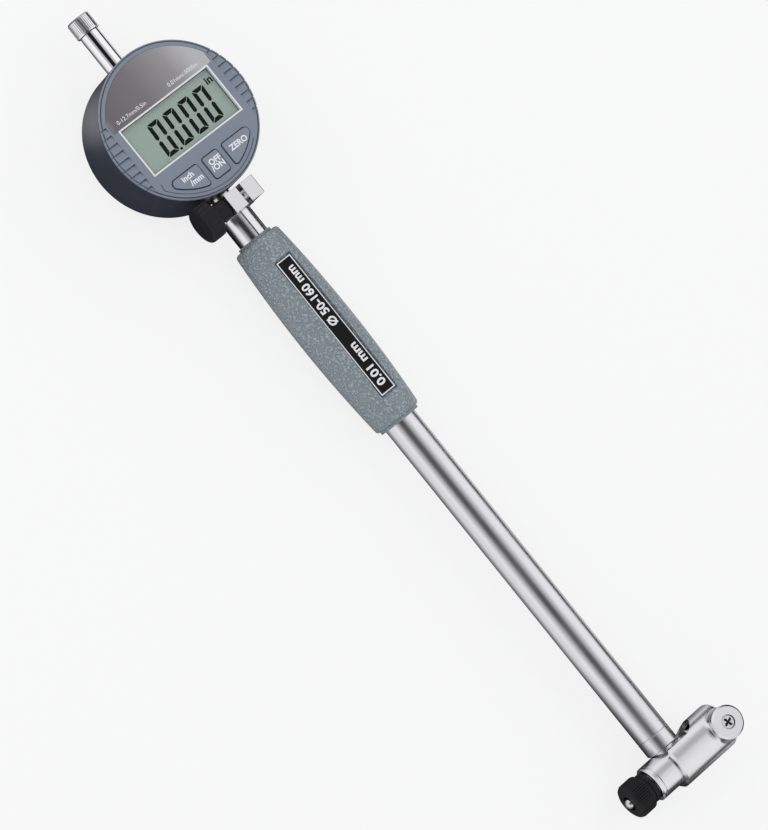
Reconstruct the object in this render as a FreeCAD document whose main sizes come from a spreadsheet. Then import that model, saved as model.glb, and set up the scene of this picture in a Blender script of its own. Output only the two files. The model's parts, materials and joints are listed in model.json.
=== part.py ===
import FreeCAD, Part
import math
import os
import re
import Sketcher

# Dial bore gauge with a digital indicator, lying on its back. All sizes are in millimetres.
#
# Frame: +Z up, the way the display faces; +Y along the tube, from the measuring head to the
# indicator; +X along the measuring axis, from the fixed anvil to the moving contact.
# The origin is the middle of the bounding box on the surface that the gauge lies on.
# The tube, the indicator's stem and its spindle share one axis, at height axis_height.

DIMENSIONS = {
    # whole gauge
    "axis_height": 12.6,          # tube axis above the surface that carries the gauge
    "centre_distance": 293.6,     # measuring axis to the centre of the indicator
    "fit_gap": 0.05,              # radial clearance of a sliding or turning fit
    # measuring head, from the centre of the head
    "head_radius": 7.15,
    "head_left": 13.2,
    "head_right": 14.0,
    "relief_start": 6.2,
    "relief_end": 9.4,
    "lip_end": 10.3,
    "relief_radius": 6.2,
    "spigot_radius": 4.9,
    "spigot_end": 19.0,
    "anvil_radius": 2.05,
    "anvil_tail": 6.0,
    "anvil_tip": 25.6,
    "anvil_flange": 3.9,
    "nut_radius": 7.1,
    "nut_inner_end": 13.5,
    "nut_outer_end": 24.0,
    "nut_hole": 3.0,
    "crank_arm": 3.6,
    "crank_tip": 0.9,
    "crank_half": 1.1,
    "pin_radius": 0.8,
    "rod_radius": 1.5,
    "play": 0.1,
    "plunger_radius": 2.0,
    "plunger_stem": 1.4,
    "contact_reach": 29.9,
    "chamber_radius": 3.4,
    "chamber_start": 7.2,
    "bush_start": 12.2,
    "bush_end": 15.0,
    # centring bridge, from the centre of the head
    "bridge_radius": 9.2,
    "bridge_bore": 7.25,
    "bridge_open_end": 3.0,
    "bridge_cavity": 17.8,
    "bridge_end": 24.1,
    "boss_place": 21.2,
    "boss_radius": 6.3,
    "boss_half": 9.5,
    "slot_half": 7.0,
    "roller_radius": 6.4,
    "roller_inner": 9.6,
    "roller_shoulder": 1.75,
    "screw_head": 2.6,
    # tube and handle, from the measuring axis
    "tube_radius": 6.6,
    "tube_bore": 4.6,
    "collar_low": 7.3,
    "collar_high": 13.5,
    "tube_top": 222.0,
    "holder_radius": 6.2,
    "holder_top": 262.0,
    "stem_bore": 4.05,
    "rod_top": 233.5,
    "grip_low": 159.6,
    "grip_high": 244.0,
    "grip_ring": 7.1,
    "grip_ring_height": 1.1,
    "grip_end_radius": 9.6,
    "grip_swell": 1.65,
    "label_low": 169.9,
    "label_high": 232.6,
    "label_half": 3.95,
    "label_floor": 8.7,
    # clamp, from the centre of the indicator
    "clamp_place": 35.15,
    "clamp_height": 7.9,
    "clamp_ring": 8.6,
    "ear_half": 6.75,
    "ear_top": 19.5,
    "ear_gap_half": 0.95,
    "knob_height": 14.0,
    "knob_radius": 7.2,
    "knob_near": 12.6,
    "knob_far": 19.0,
    # indicator, from its centre
    "case_radius": 30.0,
    "case_bore": 27.6,
    "case_ledge": 25.5,
    "case_back": 9.0,
    "case_front": 14.2,
    "bezel_back": 14.5,
    "bezel_front": 16.0,
    "board_place": 7.4,
    "cover_radius": 27.2,
    "cover_plug": 21.9,
    "window_half_x": 21.05,
    "window_low": -10.3,
    "window_high": 9.2,
    "frame_width": 0.6,
    "plate_radius": 27.6,
    "plate_half": 23.6,
    "plate_depth": 0.5,
    "button_top": -16.2,
    "button_arc": 26.0,
    "button_inner": 6.2,
    "button_outer": 18.2,
    "button_mid_half": 3.4,
    "button_mid_low": -25.0,
    "button_gap": 0.45,
    "button_face": 16.5,
    "louvre_pitch": 3.27,
    "louvre_inner": 24.5,
    "louvre_root": 1.2,
    "louvre_slit": 0.35,
    "louvre_fall": 0.7,
    "louvre_reach": 2.5,
    "rim_line": 29.05,
    "rim_lip": 29.5,
    "groove_radius": 27.85,
    "groove_half": 0.22,
    "stem_radius": 4.0,
    "stem_end": 50.5,
    "spindle_radius": 2.0,
    "spindle_end": 53.0,
    "upper_tube_radius": 3.95,
    "upper_tube_end": 45.4,
    "cap_radius": 4.75,
    "cap_reach": 52.4,
    "battery_place": 8.0,
}

HEAD_Y = "(bridge_radius - centre_distance - cap_reach) / 2"
INDICATOR_Y = "(bridge_radius + centre_distance - cap_reach) / 2"
HEAD = ("0", HEAD_Y, "axis_height")
INDICATOR = ("0", INDICATOR_Y, "axis_height")

doc = FreeCAD.newDocument("dial_bore_gauge")
sheet = doc.addObject("Spreadsheet::Sheet", "Dims")
for row, (alias, size) in enumerate(DIMENSIONS.items(), start=1):
    sheet.set("A%d" % row, str(size))
    sheet.setAlias("A%d" % row, alias)
doc.recompute()

parts = []
cuts = []


# ---------------------------------------------------------------- expressions and sketches

def cells(text):
    """Write the sheet's name before each alias in an expression."""
    return re.sub(r"\b([a-z][a-z_]*)\b(?!\()", r"Dims.\1", str(text))


def number(text):
    """The present value of an expression on the sheet."""
    return float(sheet.evalExpression(cells(text)))


def bind(item, prop, text):
    item.setExpression(prop, cells(text))


def new_body(label, place):
    """A body whose origin sits at a place given by three expressions."""
    body = doc.addObject("PartDesign::Body", label)
    body.Label = label
    for axis, text in zip("xyz", place):
        bind(body, "Placement.Base." + axis, text)
    parts.append(body)
    return body


def origin_part(body, role):
    return [item for item in body.Origin.OriginFeatures if item.Role == role][0]


def pin_point(sketch, geometry, position, point):
    """Hold one point of a sketch at two bound distances from the sketch's origin."""
    for kind, text in zip(("DistanceX", "DistanceY"), point):
        held = sketch.addConstraint(Sketcher.Constraint(kind, -1, 1, geometry, position, number(text)))
        bind(sketch, "Constraints[%d]" % held, text)


def hold_radius(sketch, geometry, text):
    held = sketch.addConstraint(Sketcher.Constraint("Radius", geometry, number(text)))
    bind(sketch, "Constraints[%d]" % held, text)


def add_circle(sketch, centre, radius):
    middle = FreeCAD.Vector(number(centre[0]), number(centre[1]), 0)
    circle = sketch.addGeometry(Part.Circle(middle, FreeCAD.Vector(0, 0, 1), number(radius)), False)
    pin_point(sketch, circle, 3, centre)
    hold_radius(sketch, circle, radius)


def add_side(sketch, start, end, bend):
    """A straight side, or an arc of a bound radius that turns left (+1) or right (-1).

    Returns the geometry's number and which of its ends come first and last."""
    if bend is None:
        return sketch.addGeometry(Part.LineSegment(start, end), False), 1, 2
    radius, turn = number(bend[0]), bend[1]
    chord = end - start
    left = FreeCAD.Vector(-chord.y, chord.x, 0).normalize()
    height = math.sqrt(max(radius ** 2 - (chord.Length / 2) ** 2, 0))
    centre = (start + end) * 0.5 + left * (turn * height)
    first, last = (start, end) if turn > 0 else (end, start)
    low = math.atan2(first.y - centre.y, first.x - centre.x)
    high = math.atan2(last.y - centre.y, last.x - centre.x)
    circle = Part.Circle(centre, FreeCAD.Vector(0, 0, 1), radius)
    arc = sketch.addGeometry(Part.ArcOfCircle(circle, low, high + (2 * math.pi if high < low else 0)), False)
    hold_radius(sketch, arc, bend[0])
    return (arc, 1, 2) if turn > 0 else (arc, 2, 1)


def add_outline(sketch, points):
    """A closed outline. A point is (x, y), or (x, y, radius, turn) where an arc leaves it."""
    spots = [FreeCAD.Vector(number(point[0]), number(point[1]), 0) for point in points]
    sides = []
    for index, point in enumerate(points):
        bend = point[2:4] if len(point) > 2 else None
        sides.append(add_side(sketch, spots[index], spots[(index + 1) % len(spots)], bend))
    for index, (side, first, last) in enumerate(sides):
        follower, follower_first, _ = sides[(index + 1) % len(sides)]
        sketch.addConstraint(Sketcher.Constraint("Coincident", side, last, follower, follower_first))
    for (side, first, last), point in zip(sides, points):
        pin_point(sketch, side, first, point)


def new_sketch(body, plane, loops, offset=None):
    """A sketch on one of the body's origin planes. A loop is an outline or (centre, radius)."""
    sketch = body.newObject("Sketcher::SketchObject", body.Label + "_sketch")
    sketch.AttachmentSupport = [(origin_part(body, plane), "")]
    sketch.MapMode = "FlatFace"
    if offset is not None:
        bind(sketch, "AttachmentOffset.Base.z", offset)
    for loop in loops:
        if isinstance(loop, tuple):
            add_circle(sketch, *loop)
        else:
            add_outline(sketch, loop)
    return sketch


# ---------------------------------------------------------------- features

# The way a pad runs from each plane: the XZ plane of a body faces -Y.
FACING = {"XY_Plane": 1, "YZ_Plane": 1, "XZ_Plane": -1}


def pad(body, plane, low, high, *loops):
    """Solid between two levels measured along the axis that the plane is square to."""
    start = low if FACING[plane] > 0 else "-(%s)" % high
    feature = body.newObject("PartDesign::Pad", body.Label + "_pad")
    feature.Profile = new_sketch(body, plane, loops, start)
    bind(feature, "Length", "(%s) - (%s)" % (high, low))
    return feature


def pocket(body, plane, low, high, *loops):
    """Cut between two levels measured along the axis that the plane is square to."""
    start = high if FACING[plane] > 0 else "-(%s)" % low
    feature = body.newObject("PartDesign::Pocket", body.Label + "_pocket")
    feature.Profile = new_sketch(body, plane, loops, start)
    bind(feature, "Length", "(%s) - (%s)" % (high, low))
    cuts.append(feature)
    return feature


def turned(body, kind, plane, axis, loops):
    sketch = new_sketch(body, plane, loops)
    feature = body.newObject("PartDesign::" + kind, body.Label + "_" + kind.lower())
    feature.Profile = sketch
    feature.ReferenceAxis = (sketch, [axis])
    feature.Angle = 360
    return feature


def turn_x(body, *loops):
    """Turned about X: points are (along X, radius)."""
    return turned(body, "Revolution", "XY_Plane", "H_Axis", loops)


def turn_y(body, *loops):
    """Turned about Y: points are (radius, along Y)."""
    return turned(body, "Revolution", "XY_Plane", "V_Axis", loops)


def turn_z(body, *loops):
    """Turned about Z: points are (radius, along Z)."""
    return turned(body, "Revolution", "XZ_Plane", "V_Axis", loops)


def bore_x(body, *loops):
    cuts.append(turned(body, "Groove", "XY_Plane", "H_Axis", loops))


def bore_y(body, *loops):
    cuts.append(turned(body, "Groove", "XY_Plane", "V_Axis", loops))


def bore_z(body, *loops):
    cuts.append(turned(body, "Groove", "XZ_Plane", "V_Axis", loops))


def box(left, right, low, high):
    """A rectangle for a sketch."""
    return [(left, low), (right, low), (right, high), (left, high)]


def tube_wall(inner, outer, low, high):
    """The section of a plain ring, as (radius, along) points."""
    return box(inner, outer, low, high)


def ring_pattern(body, feature, axis, count):
    pattern = body.newObject("PartDesign::PolarPattern", body.Label + "_pattern")
    pattern.Originals = [feature]
    pattern.Axis = (origin_part(body, axis), [""])
    pattern.Angle = 360
    pattern.Occurrences = count
    body.Tip = pattern
    return pattern


def soften(body, radius, wanted, kind="Fillet"):
    """Round or chamfer the edges, placed from the body's own origin, that the test accepts."""
    doc.recompute()
    base = body.Tip
    names = ["Edge%d" % (i + 1) for i, edge in enumerate(base.Shape.Edges) if wanted(edge)]
    if not names:
        raise RuntimeError("no edge to soften on " + body.Label)
    feature = body.newObject("PartDesign::" + kind, body.Label + "_" + kind.lower())
    feature.Base = (base, names)
    bind(feature, "Radius" if kind == "Fillet" else "Size", radius)
    return feature


def upright(edge):
    """True for a straight edge along Z."""
    if edge.Curve.TypeId != "Part::GeomLine":
        return False
    return abs(edge.Curve.Direction.z) > 0.999


# ---------------------------------------------------------------- measuring head

def make_head_body():
    """Cross cylinder with a threaded spigot for the lock nut and one for the tube.

    The bridge slides on the cylinder and on a narrow lip beyond a relief."""
    body = new_body("head_body", HEAD)
    turn_x(body, [
        ("-spigot_end", "0"), ("-spigot_end", "spigot_radius - 0.4"), ("-spigot_end + 0.4", "spigot_radius"),
        ("-head_left", "spigot_radius"), ("-head_left", "head_radius - 0.5"),
        ("-head_left + 0.5", "head_radius"), ("-head_left + 1.4", "head_radius"),
        ("-head_left + 1.4", "head_radius - 0.4"), ("-head_left + 2.1", "head_radius - 0.4"),
        ("-head_left + 2.1", "head_radius"), ("relief_start", "head_radius"),
        ("relief_start", "relief_radius"), ("relief_end", "relief_radius"), ("relief_end", "head_radius"),
        ("lip_end", "head_radius"), ("lip_end", "relief_radius"), ("head_right - 0.4", "relief_radius"),
        ("head_right", "relief_radius - 0.4"), ("head_right", "0")])
    pad(body, "XZ_Plane", "0", "collar_high", (("0", "0"), "spigot_radius"))
    pad(body, "XZ_Plane", "collar_high", "collar_high + 8", (("0", "0"), "tube_bore - fit_gap"))
    bore_x(body, [("-spigot_end - 1", "0"), ("-spigot_end - 1", "anvil_radius + fit_gap"),
                  ("-anvil_tail + 1", "anvil_radius + fit_gap"), ("-anvil_tail + 1", "0")])
    bore_x(body, [("2", "0"), ("2", "plunger_stem + fit_gap"), ("chamber_start", "plunger_stem + fit_gap"),
                  ("chamber_start", "chamber_radius"), ("head_right + 1", "chamber_radius"),
                  ("head_right + 1", "0")])
    # pocket for the bell crank, open to the push rod's bore
    pocket(body, "XY_Plane", "-crank_half - 0.2", "crank_half + 0.2",
           box("-crank_tip - 0.4", "crank_arm + 2", "-crank_tip - 0.5", "crank_arm + 3.2"))
    pocket(body, "XZ_Plane", "crank_arm", "collar_high + 9", (("0", "0"), "rod_radius + fit_gap"))
    pocket(body, "XY_Plane", "-head_radius", "head_radius", (("crank_arm", "crank_arm"), "pin_radius"))
    # threaded hole for the bridge's stop screw, in the far side
    pocket(body, "XY_Plane", "-head_radius - 1", "-4.6", (("2", "0"), "1.2"))


def make_tube_collar():
    body = new_body("tube_collar", HEAD)
    turn_y(body, [("spigot_radius", "collar_low"), ("tube_radius - 0.4", "collar_low"),
                  ("tube_radius", "collar_low + 0.4"), ("tube_radius", "collar_high - 0.25"),
                  ("tube_radius - 0.25", "collar_high"), ("spigot_radius", "collar_high")])


def make_anvil():
    """Fixed measuring rod: a tail in the head, a flange that the nut clamps and a ball end."""
    body = new_body("anvil_rod", HEAD)
    turn_x(body, [
        ("-anvil_tail", "0"), ("-anvil_tail", "anvil_radius - 0.3"), ("-anvil_tail - 0.3", "anvil_radius"),
        ("-spigot_end", "anvil_radius"), ("-spigot_end", "anvil_flange"),
        ("-spigot_end - 1.4", "anvil_flange"), ("-spigot_end - 1.4", "anvil_radius"),
        ("-anvil_tip + anvil_radius", "anvil_radius", "anvil_radius", 1), ("-anvil_tip", "0")])


def make_lock_nut():
    """Lock nut: a plain flange, a neck and a knurled grip with a rounded outer edge."""
    body = new_body("lock_nut", HEAD)
    turn_x(body, [
        ("-nut_inner_end", "spigot_radius + fit_gap"), ("-nut_inner_end", "nut_radius - 1.5"),
        ("-nut_inner_end - 0.5", "nut_radius - 1"), ("-nut_inner_end - 1.8", "nut_radius - 1"),
        ("-nut_inner_end - 2.2", "nut_radius - 1.4"), ("-nut_inner_end - 2.8", "nut_radius - 1.4"),
        ("-nut_inner_end - 3.4", "nut_radius - 0.2"), ("-nut_inner_end - 4", "nut_radius"),
        ("-nut_outer_end + 1.6", "nut_radius"), ("-nut_outer_end + 0.6", "nut_radius - 0.5"),
        ("-nut_outer_end", "nut_radius - 1.5"), ("-nut_outer_end", "nut_hole"),
        ("-spigot_end - 1.5", "nut_hole"), ("-spigot_end - 1.5", "spigot_radius + fit_gap")])
    groove = pocket(body, "YZ_Plane", "-nut_outer_end - 1", "-nut_inner_end - 3",
                    [("nut_radius - 0.3", "0"), ("nut_radius + 0.3", "-0.42"), ("nut_radius + 0.3", "0.42")])
    ring_pattern(body, groove, "X_Axis", 48)


def make_bell_crank():
    """Right-angle lever: one arm meets the contact plunger, the other the push rod."""
    body = new_body("bell_crank", HEAD)
    arm = "crank_tip - 0.4"
    pad(body, "XY_Plane", "-crank_half", "crank_half", (("crank_arm", "crank_arm"), "pin_radius + 0.9"))
    pad(body, "XY_Plane", "-crank_half", "crank_half", (("crank_arm", "0"), "crank_tip"))
    pad(body, "XY_Plane", "-crank_half", "crank_half", (("0", "crank_arm"), "crank_tip"))
    pad(body, "XY_Plane", "-crank_half", "crank_half",
        box("crank_arm - (%s)" % arm, "crank_arm + (%s)" % arm, "0", "crank_arm"))
    pad(body, "XY_Plane", "-crank_half", "crank_half",
        box("0", "crank_arm", "crank_arm - (%s)" % arm, "crank_arm + (%s)" % arm))
    pocket(body, "XY_Plane", "-crank_half", "crank_half", (("crank_arm", "crank_arm"), "pin_radius + fit_gap"))


def make_crank_pin():
    body = new_body("crank_pin", HEAD)
    pad(body, "XY_Plane", "-6", "6", (("crank_arm", "crank_arm"), "pin_radius"))


def make_contact_plunger():
    """Moving contact: nose to the crank, shoulder for its spring, ball-ended stem."""
    body = new_body("contact_plunger", HEAD)
    nose = "crank_arm + crank_tip + play"
    turn_x(body, [
        (nose, "0"), (nose, "crank_tip"), ("%s + 0.8" % nose, "crank_tip"),
        ("%s + 0.8" % nose, "plunger_stem"), ("bush_start - 1.1", "plunger_stem"),
        ("bush_start - 1.1", "chamber_radius - 0.2"), ("bush_start - 0.1", "chamber_radius - 0.2"),
        ("bush_start - 0.1", "plunger_radius"),
        ("contact_reach - plunger_radius", "plunger_radius", "plunger_radius", -1), ("contact_reach", "0")])


def make_guide_bush():
    body = new_body("guide_bush", HEAD)
    turn_x(body, [
        ("bush_start", "plunger_radius + fit_gap"), ("bush_start", "chamber_radius"),
        ("head_right", "chamber_radius"), ("head_right", "chamber_radius + 1.4"),
        ("bush_end", "chamber_radius + 1.4"), ("bush_end", "plunger_radius + fit_gap")])


def make_stop_screw():
    """Screw in the head's far side that keeps the bridge from turning or sliding off."""
    body = new_body("stop_screw", HEAD)
    pad(body, "XY_Plane", "-bridge_radius + 0.5", "-4.8", (("2", "0"), "1.2"))
    pocket(body, "XY_Plane", "-bridge_radius", "-bridge_radius + 1.1", box("0.6", "3.4", "-0.2", "0.2"))


def make_bridge():
    """Centring bridge: a slotted sleeve on the head with a cross boss for the rollers."""
    body = new_body("bridge", HEAD)
    turn_x(body, [
        ("-bridge_open_end", "0"), ("-bridge_open_end", "bridge_radius - 0.8"),
        ("-bridge_open_end + 0.8", "bridge_radius"), ("bridge_end - 2", "bridge_radius", "2", -1),
        ("bridge_end", "bridge_radius - 2"), ("bridge_end", "0")])
    pad(body, "XY_Plane", "-boss_half", "boss_half", (("boss_place", "0"), "boss_radius"))
    # concave blend between the sleeve and the boss, on both sides
    soften(body, "2.2", lambda edge: abs(edge.CenterOfMass.z) > 4
           and edge.Curve.TypeId not in ("Part::GeomLine", "Part::GeomCircle"))
    bore_x(body, [
        ("-bridge_open_end - 1", "0"), ("-bridge_open_end - 1", "bridge_bore"),
        ("bridge_cavity", "bridge_bore"), ("bridge_cavity", "4.2"), ("bridge_cavity + 4.2", "4.2"),
        ("bridge_cavity + 4.2", "plunger_radius + 0.4"), ("bridge_end + 6", "plunger_radius + 0.4"),
        ("bridge_end + 6", "0")])
    # slot round the tube, with a round end
    pocket(body, "XZ_Plane", "0", "bridge_radius + 1", [
        ("-bridge_open_end - 1", "-slot_half"), ("slot_half", "-slot_half", "slot_half", 1),
        ("2 * slot_half", "0", "slot_half", 1), ("slot_half", "slot_half"),
        ("-bridge_open_end - 1", "slot_half")])
    # slot for the stop screw
    pocket(body, "XY_Plane", "-bridge_radius - 1", "0", box("0.7", "5.9", "-1.3", "1.3"))
    # tapped holes for the roller screws
    pocket(body, "XY_Plane", "-boss_half - 1", "boss_half + 1", (("boss_place", "0"), "1.5"))


def make_roller(label, side):
    """Roller on the bridge; side is 1 for the one on the display's side and -1 for the other."""
    body = new_body(label, HEAD)
    low, high = "roller_inner", "axis_height"
    rim = "roller_radius"
    hole = "roller_shoulder + fit_gap"
    points = [(hole, low), ("%s - 0.3" % rim, low), (rim, "%s + 0.3" % low), (rim, "%s - 0.7" % high),
              ("%s - 0.7" % rim, high), ("screw_head + 0.15", high),
              ("screw_head + 0.15", "%s - 1.3" % high), (hole, "%s - 1.3" % high)]
    if side < 0:
        points = [(radius, "-(%s)" % level) for radius, level in points]
    turn_z(body, points)
    bind(body, "Placement.Base.x", "boss_place")


def make_roller_screw(label, side):
    """Shoulder screw with a cross-recessed head, sunk in the roller's face."""
    body = new_body(label, HEAD)
    head_top = "axis_height - 0.3"
    seat = "axis_height - 1.2"
    points = [("0", "4.9"), ("1.5", "4.9"), ("1.5", "boss_half"), ("roller_shoulder", "boss_half"),
              ("roller_shoulder", seat), ("screw_head", seat), ("screw_head", "%s - 0.3" % head_top),
              ("screw_head - 0.3", head_top), ("0", head_top)]
    levels = ("%s - 0.7" % head_top, "%s + 1" % head_top)
    if side < 0:
        points = [(radius, "-(%s)" % level) for radius, level in points]
        levels = tuple("-(%s)" % level for level in reversed(levels))
    turn_z(body, points)
    pocket(body, "XY_Plane", levels[0], levels[1], [
        ("-1.5", "-0.25"), ("-0.25", "-0.25"), ("-0.25", "-1.5"), ("0.25", "-1.5"), ("0.25", "-0.25"),
        ("1.5", "-0.25"), ("1.5", "0.25"), ("0.25", "0.25"), ("0.25", "1.5"), ("-0.25", "1.5"),
        ("-0.25", "0.25"), ("-1.5", "0.25")])
    bind(body, "Placement.Base.x", "boss_place")


# ---------------------------------------------------------------- coil springs

WIRE_SIDES = 6
STEPS_IN_A_TURN = 14


def wire_section(turn, level, coil, wire):
    """One cross-section of the wire, standing at an angle round the coil's axis."""
    outward = FreeCAD.Vector(math.cos(turn), math.sin(turn), 0)
    up = FreeCAD.Vector(0, 0, 1)
    corners = []
    for side in range(WIRE_SIDES + 1):
        round_wire = 2 * math.pi * (side % WIRE_SIDES) / WIRE_SIDES
        reach = coil + wire * math.cos(round_wire)
        corners.append(outward * reach + up * (level + wire * math.sin(round_wire)))
    return Part.makePolygon(corners)


def make_spring(label, place, direction, start, end, coil, wire, turns):
    """Coil spring between two levels along an axis, lofted through sections of its wire."""
    length = number(end) - number(start) - 2 * wire
    steps = turns * STEPS_IN_A_TURN
    sections = [wire_section(2 * math.pi * turns * step / steps, length * step / steps, coil, wire)
                for step in range(steps + 1)]
    spring = doc.addObject("Part::Feature", label)
    spring.Label = label
    spring.Shape = Part.makeLoft(sections, True, True)
    base = FreeCAD.Vector(*[number(text) for text in place])
    along = FreeCAD.Vector(*direction)
    turn = FreeCAD.Rotation(FreeCAD.Vector(0, 0, 1), along)
    spring.Placement = FreeCAD.Placement(base + along * (number(start) + wire), turn)
    parts.append(spring)


# ---------------------------------------------------------------- tube and handle

def make_main_tube():
    body = new_body("main_tube", HEAD)
    turn_y(body, [("tube_bore", "collar_high"), ("tube_radius - 0.25", "collar_high"),
                  ("tube_radius", "collar_high + 0.25"), ("tube_radius", "tube_top"),
                  ("tube_bore", "tube_top")])


def make_push_rod():
    """Rod from the bell crank to the indicator's tip, with a broad top end."""
    body = new_body("push_rod", HEAD)
    low = "crank_arm + crank_tip + play"
    turn_y(body, [("0", low), ("crank_tip", low), ("crank_tip", "%s + 0.8" % low),
                  ("rod_radius", "%s + 1.2" % low), ("rod_radius", "rod_top - 3"),
                  ("rod_radius + 0.9", "rod_top - 3"), ("rod_radius + 0.9", "rod_top"), ("0", "rod_top")])


def make_stem_holder():
    """Split sleeve that takes the indicator's stem; its spigot centres the tube."""
    body = new_body("stem_holder", HEAD)
    turn_y(body, [
        ("rod_radius + fit_gap", "tube_top - 10"), ("tube_bore - fit_gap", "tube_top - 10"),
        ("tube_bore - fit_gap", "tube_top"), ("holder_radius", "tube_top"),
        ("holder_radius", "holder_top - 0.4"), ("holder_radius - 0.4", "holder_top"),
        ("stem_bore", "holder_top"), ("stem_bore", "tube_top + 14"), ("rod_radius + 1.3", "tube_top + 14"),
        ("rod_radius + 1.3", "tube_top + 4"), ("rod_radius + fit_gap", "tube_top + 4")])
    # the slit that lets the clamp close the sleeve on the stem
    pocket(body, "XY_Plane", "0", "holder_radius + 1", box("-0.35", "0.35", "grip_high - 4", "holder_top + 1"))


def make_handle_grip():
    """Barrel grip with a small ring at each end and a recess for the label."""
    body = new_body("handle_grip", HEAD)
    low, high = "grip_low + grip_ring_height", "grip_high - grip_ring_height"
    span = "(grip_high - grip_low - 2 * grip_ring_height - 2.4)"
    barrel = "(%s * %s / 4 + grip_swell * grip_swell) / (2 * grip_swell)" % (span, span)
    bore = "tube_radius + fit_gap"
    turn_y(body, [
        (bore, "grip_low"), ("grip_ring + 1.2", "grip_low"), ("grip_ring + 1.2", low),
        ("grip_end_radius - 1.2", low), ("grip_end_radius - 0.35", "%s + 0.35" % low),
        ("grip_end_radius", "%s + 1.2" % low, barrel, 1), ("grip_end_radius", "%s - 1.2" % high),
        ("grip_end_radius - 0.35", "%s - 0.35" % high), ("grip_end_radius - 1.2", high),
        ("grip_ring", high), ("grip_ring", "grip_high"), ("holder_radius + fit_gap", "grip_high"),
        ("holder_radius + fit_gap", "tube_top + fit_gap"), (bore, "tube_top + fit_gap")])
    pocket(body, "XY_Plane", "label_floor", "label_floor + 6",
           box("-label_half", "label_half", "label_low", "label_high"))
    soften(body, "0.6", lambda edge: upright(edge) and abs(edge.CenterOfMass.x) > 3)


def make_label_plate():
    body = new_body("label_plate", HEAD)
    pad(body, "XY_Plane", "label_floor", "label_floor + 0.5",
        box("-label_half + 0.5", "label_half - 0.5", "label_low + 0.8", "label_high - 0.8"))


# ---------------------------------------------------------------- clamp

CLAMP_LOW = "-clamp_place - clamp_height / 2"
CLAMP_HIGH = "-clamp_place + clamp_height / 2"


def make_clamp_collar():
    """Split collar: a ring on the holder and two ears drawn together by the knob's screw."""
    body = new_body("clamp_collar", INDICATOR)
    pad(body, "XZ_Plane", CLAMP_LOW, CLAMP_HIGH, (("0", "0"), "clamp_ring"))
    pad(body, "XZ_Plane", CLAMP_LOW, CLAMP_HIGH, box("-ear_half", "ear_half", "0", "ear_top"))
    pocket(body, "XZ_Plane", CLAMP_LOW, CLAMP_HIGH, (("0", "0"), "holder_radius + 0.02"))
    pocket(body, "XZ_Plane", CLAMP_LOW, CLAMP_HIGH,
           box("-ear_gap_half", "ear_gap_half", "holder_radius - 1", "ear_top + 1"))
    pocket(body, "YZ_Plane", "-ear_half - 1", "ear_half + 1", (("-clamp_place", "knob_height"), "2.05"))
    soften(body, "0.3", lambda edge: edge.Curve.TypeId == "Part::GeomLine"
           and abs(edge.CenterOfMass.z - number("ear_top")) < 0.01, "Chamfer")


def make_clamp_knob():
    """Moulded knob with a hub and shallow finger flutes; it turns about X."""
    body = new_body("clamp_knob", ("0", INDICATOR_Y + " - clamp_place", "axis_height + knob_height"))
    turn_x(body, [
        ("-ear_half - 0.2", "2"), ("-ear_half - 0.2", "3.9"), ("-knob_near + 0.6", "3.9"),
        ("-knob_near", "knob_radius - 1.2"), ("-knob_near - 1", "knob_radius"),
        ("-knob_far + 1", "knob_radius"), ("-knob_far + 0.3", "knob_radius - 0.3"),
        ("-knob_far", "knob_radius - 1"), ("-knob_far", "0"),
        ("-knob_far + 2.4", "0"), ("-knob_far + 2.4", "2")])
    flute = pocket(body, "YZ_Plane", "-knob_far - 1", "-knob_near + 1", (("knob_radius + 1.9", "0"), "2.3"))
    ring_pattern(body, flute, "X_Axis", 12)


def make_clamp_screw():
    body = new_body("clamp_screw", ("0", INDICATOR_Y + " - clamp_place", "axis_height + knob_height"))
    turn_x(body, [("-knob_far + 2.4", "0"), ("-knob_far + 2.4", "2"), ("ear_half - 1", "2"),
                  ("ear_half - 0.4", "1.5"), ("ear_half - 0.4", "0")])


# ---------------------------------------------------------------- indicator

def make_rear_case():
    """Round case: side wall, back rim and a ledge that carries the circuit board."""
    body = new_body("rear_case", INDICATOR)
    turn_z(body, [
        ("cover_plug + 0.1", "-case_back"), ("case_radius - 0.9", "-case_back"),
        ("case_radius", "-case_back + 0.9"), ("case_radius", "case_front"), ("case_bore", "case_front"),
        ("case_bore", "board_place"), ("case_ledge", "board_place"), ("case_ledge", "-case_back + 2"),
        ("cover_plug + 0.1", "-case_back + 2")])
    pocket(body, "XZ_Plane", "-case_radius - 1", "-case_ledge + 1", (("0", "0"), "stem_radius"))
    pocket(body, "XZ_Plane", "case_ledge - 1", "case_radius + 1", (("0", "0"), "upper_tube_radius"))
    for x_sign, y_sign in SCREW_CORNERS:
        pocket(body, "XY_Plane", "-case_back - 1", "-case_back + 3", (screw_place(x_sign, y_sign), "0.8"))


SCREW_CORNERS = [(1, 1), (1, -1), (-1, 1), (-1, -1)]


def screw_place(x_sign, y_sign):
    """Cover screws sit on the diagonals, between the plug and the case's wall."""
    reach = "%d * (case_ledge + cover_plug) / 2 * sqrt(0.5)"
    return (reach % x_sign, reach % y_sign)


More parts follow.
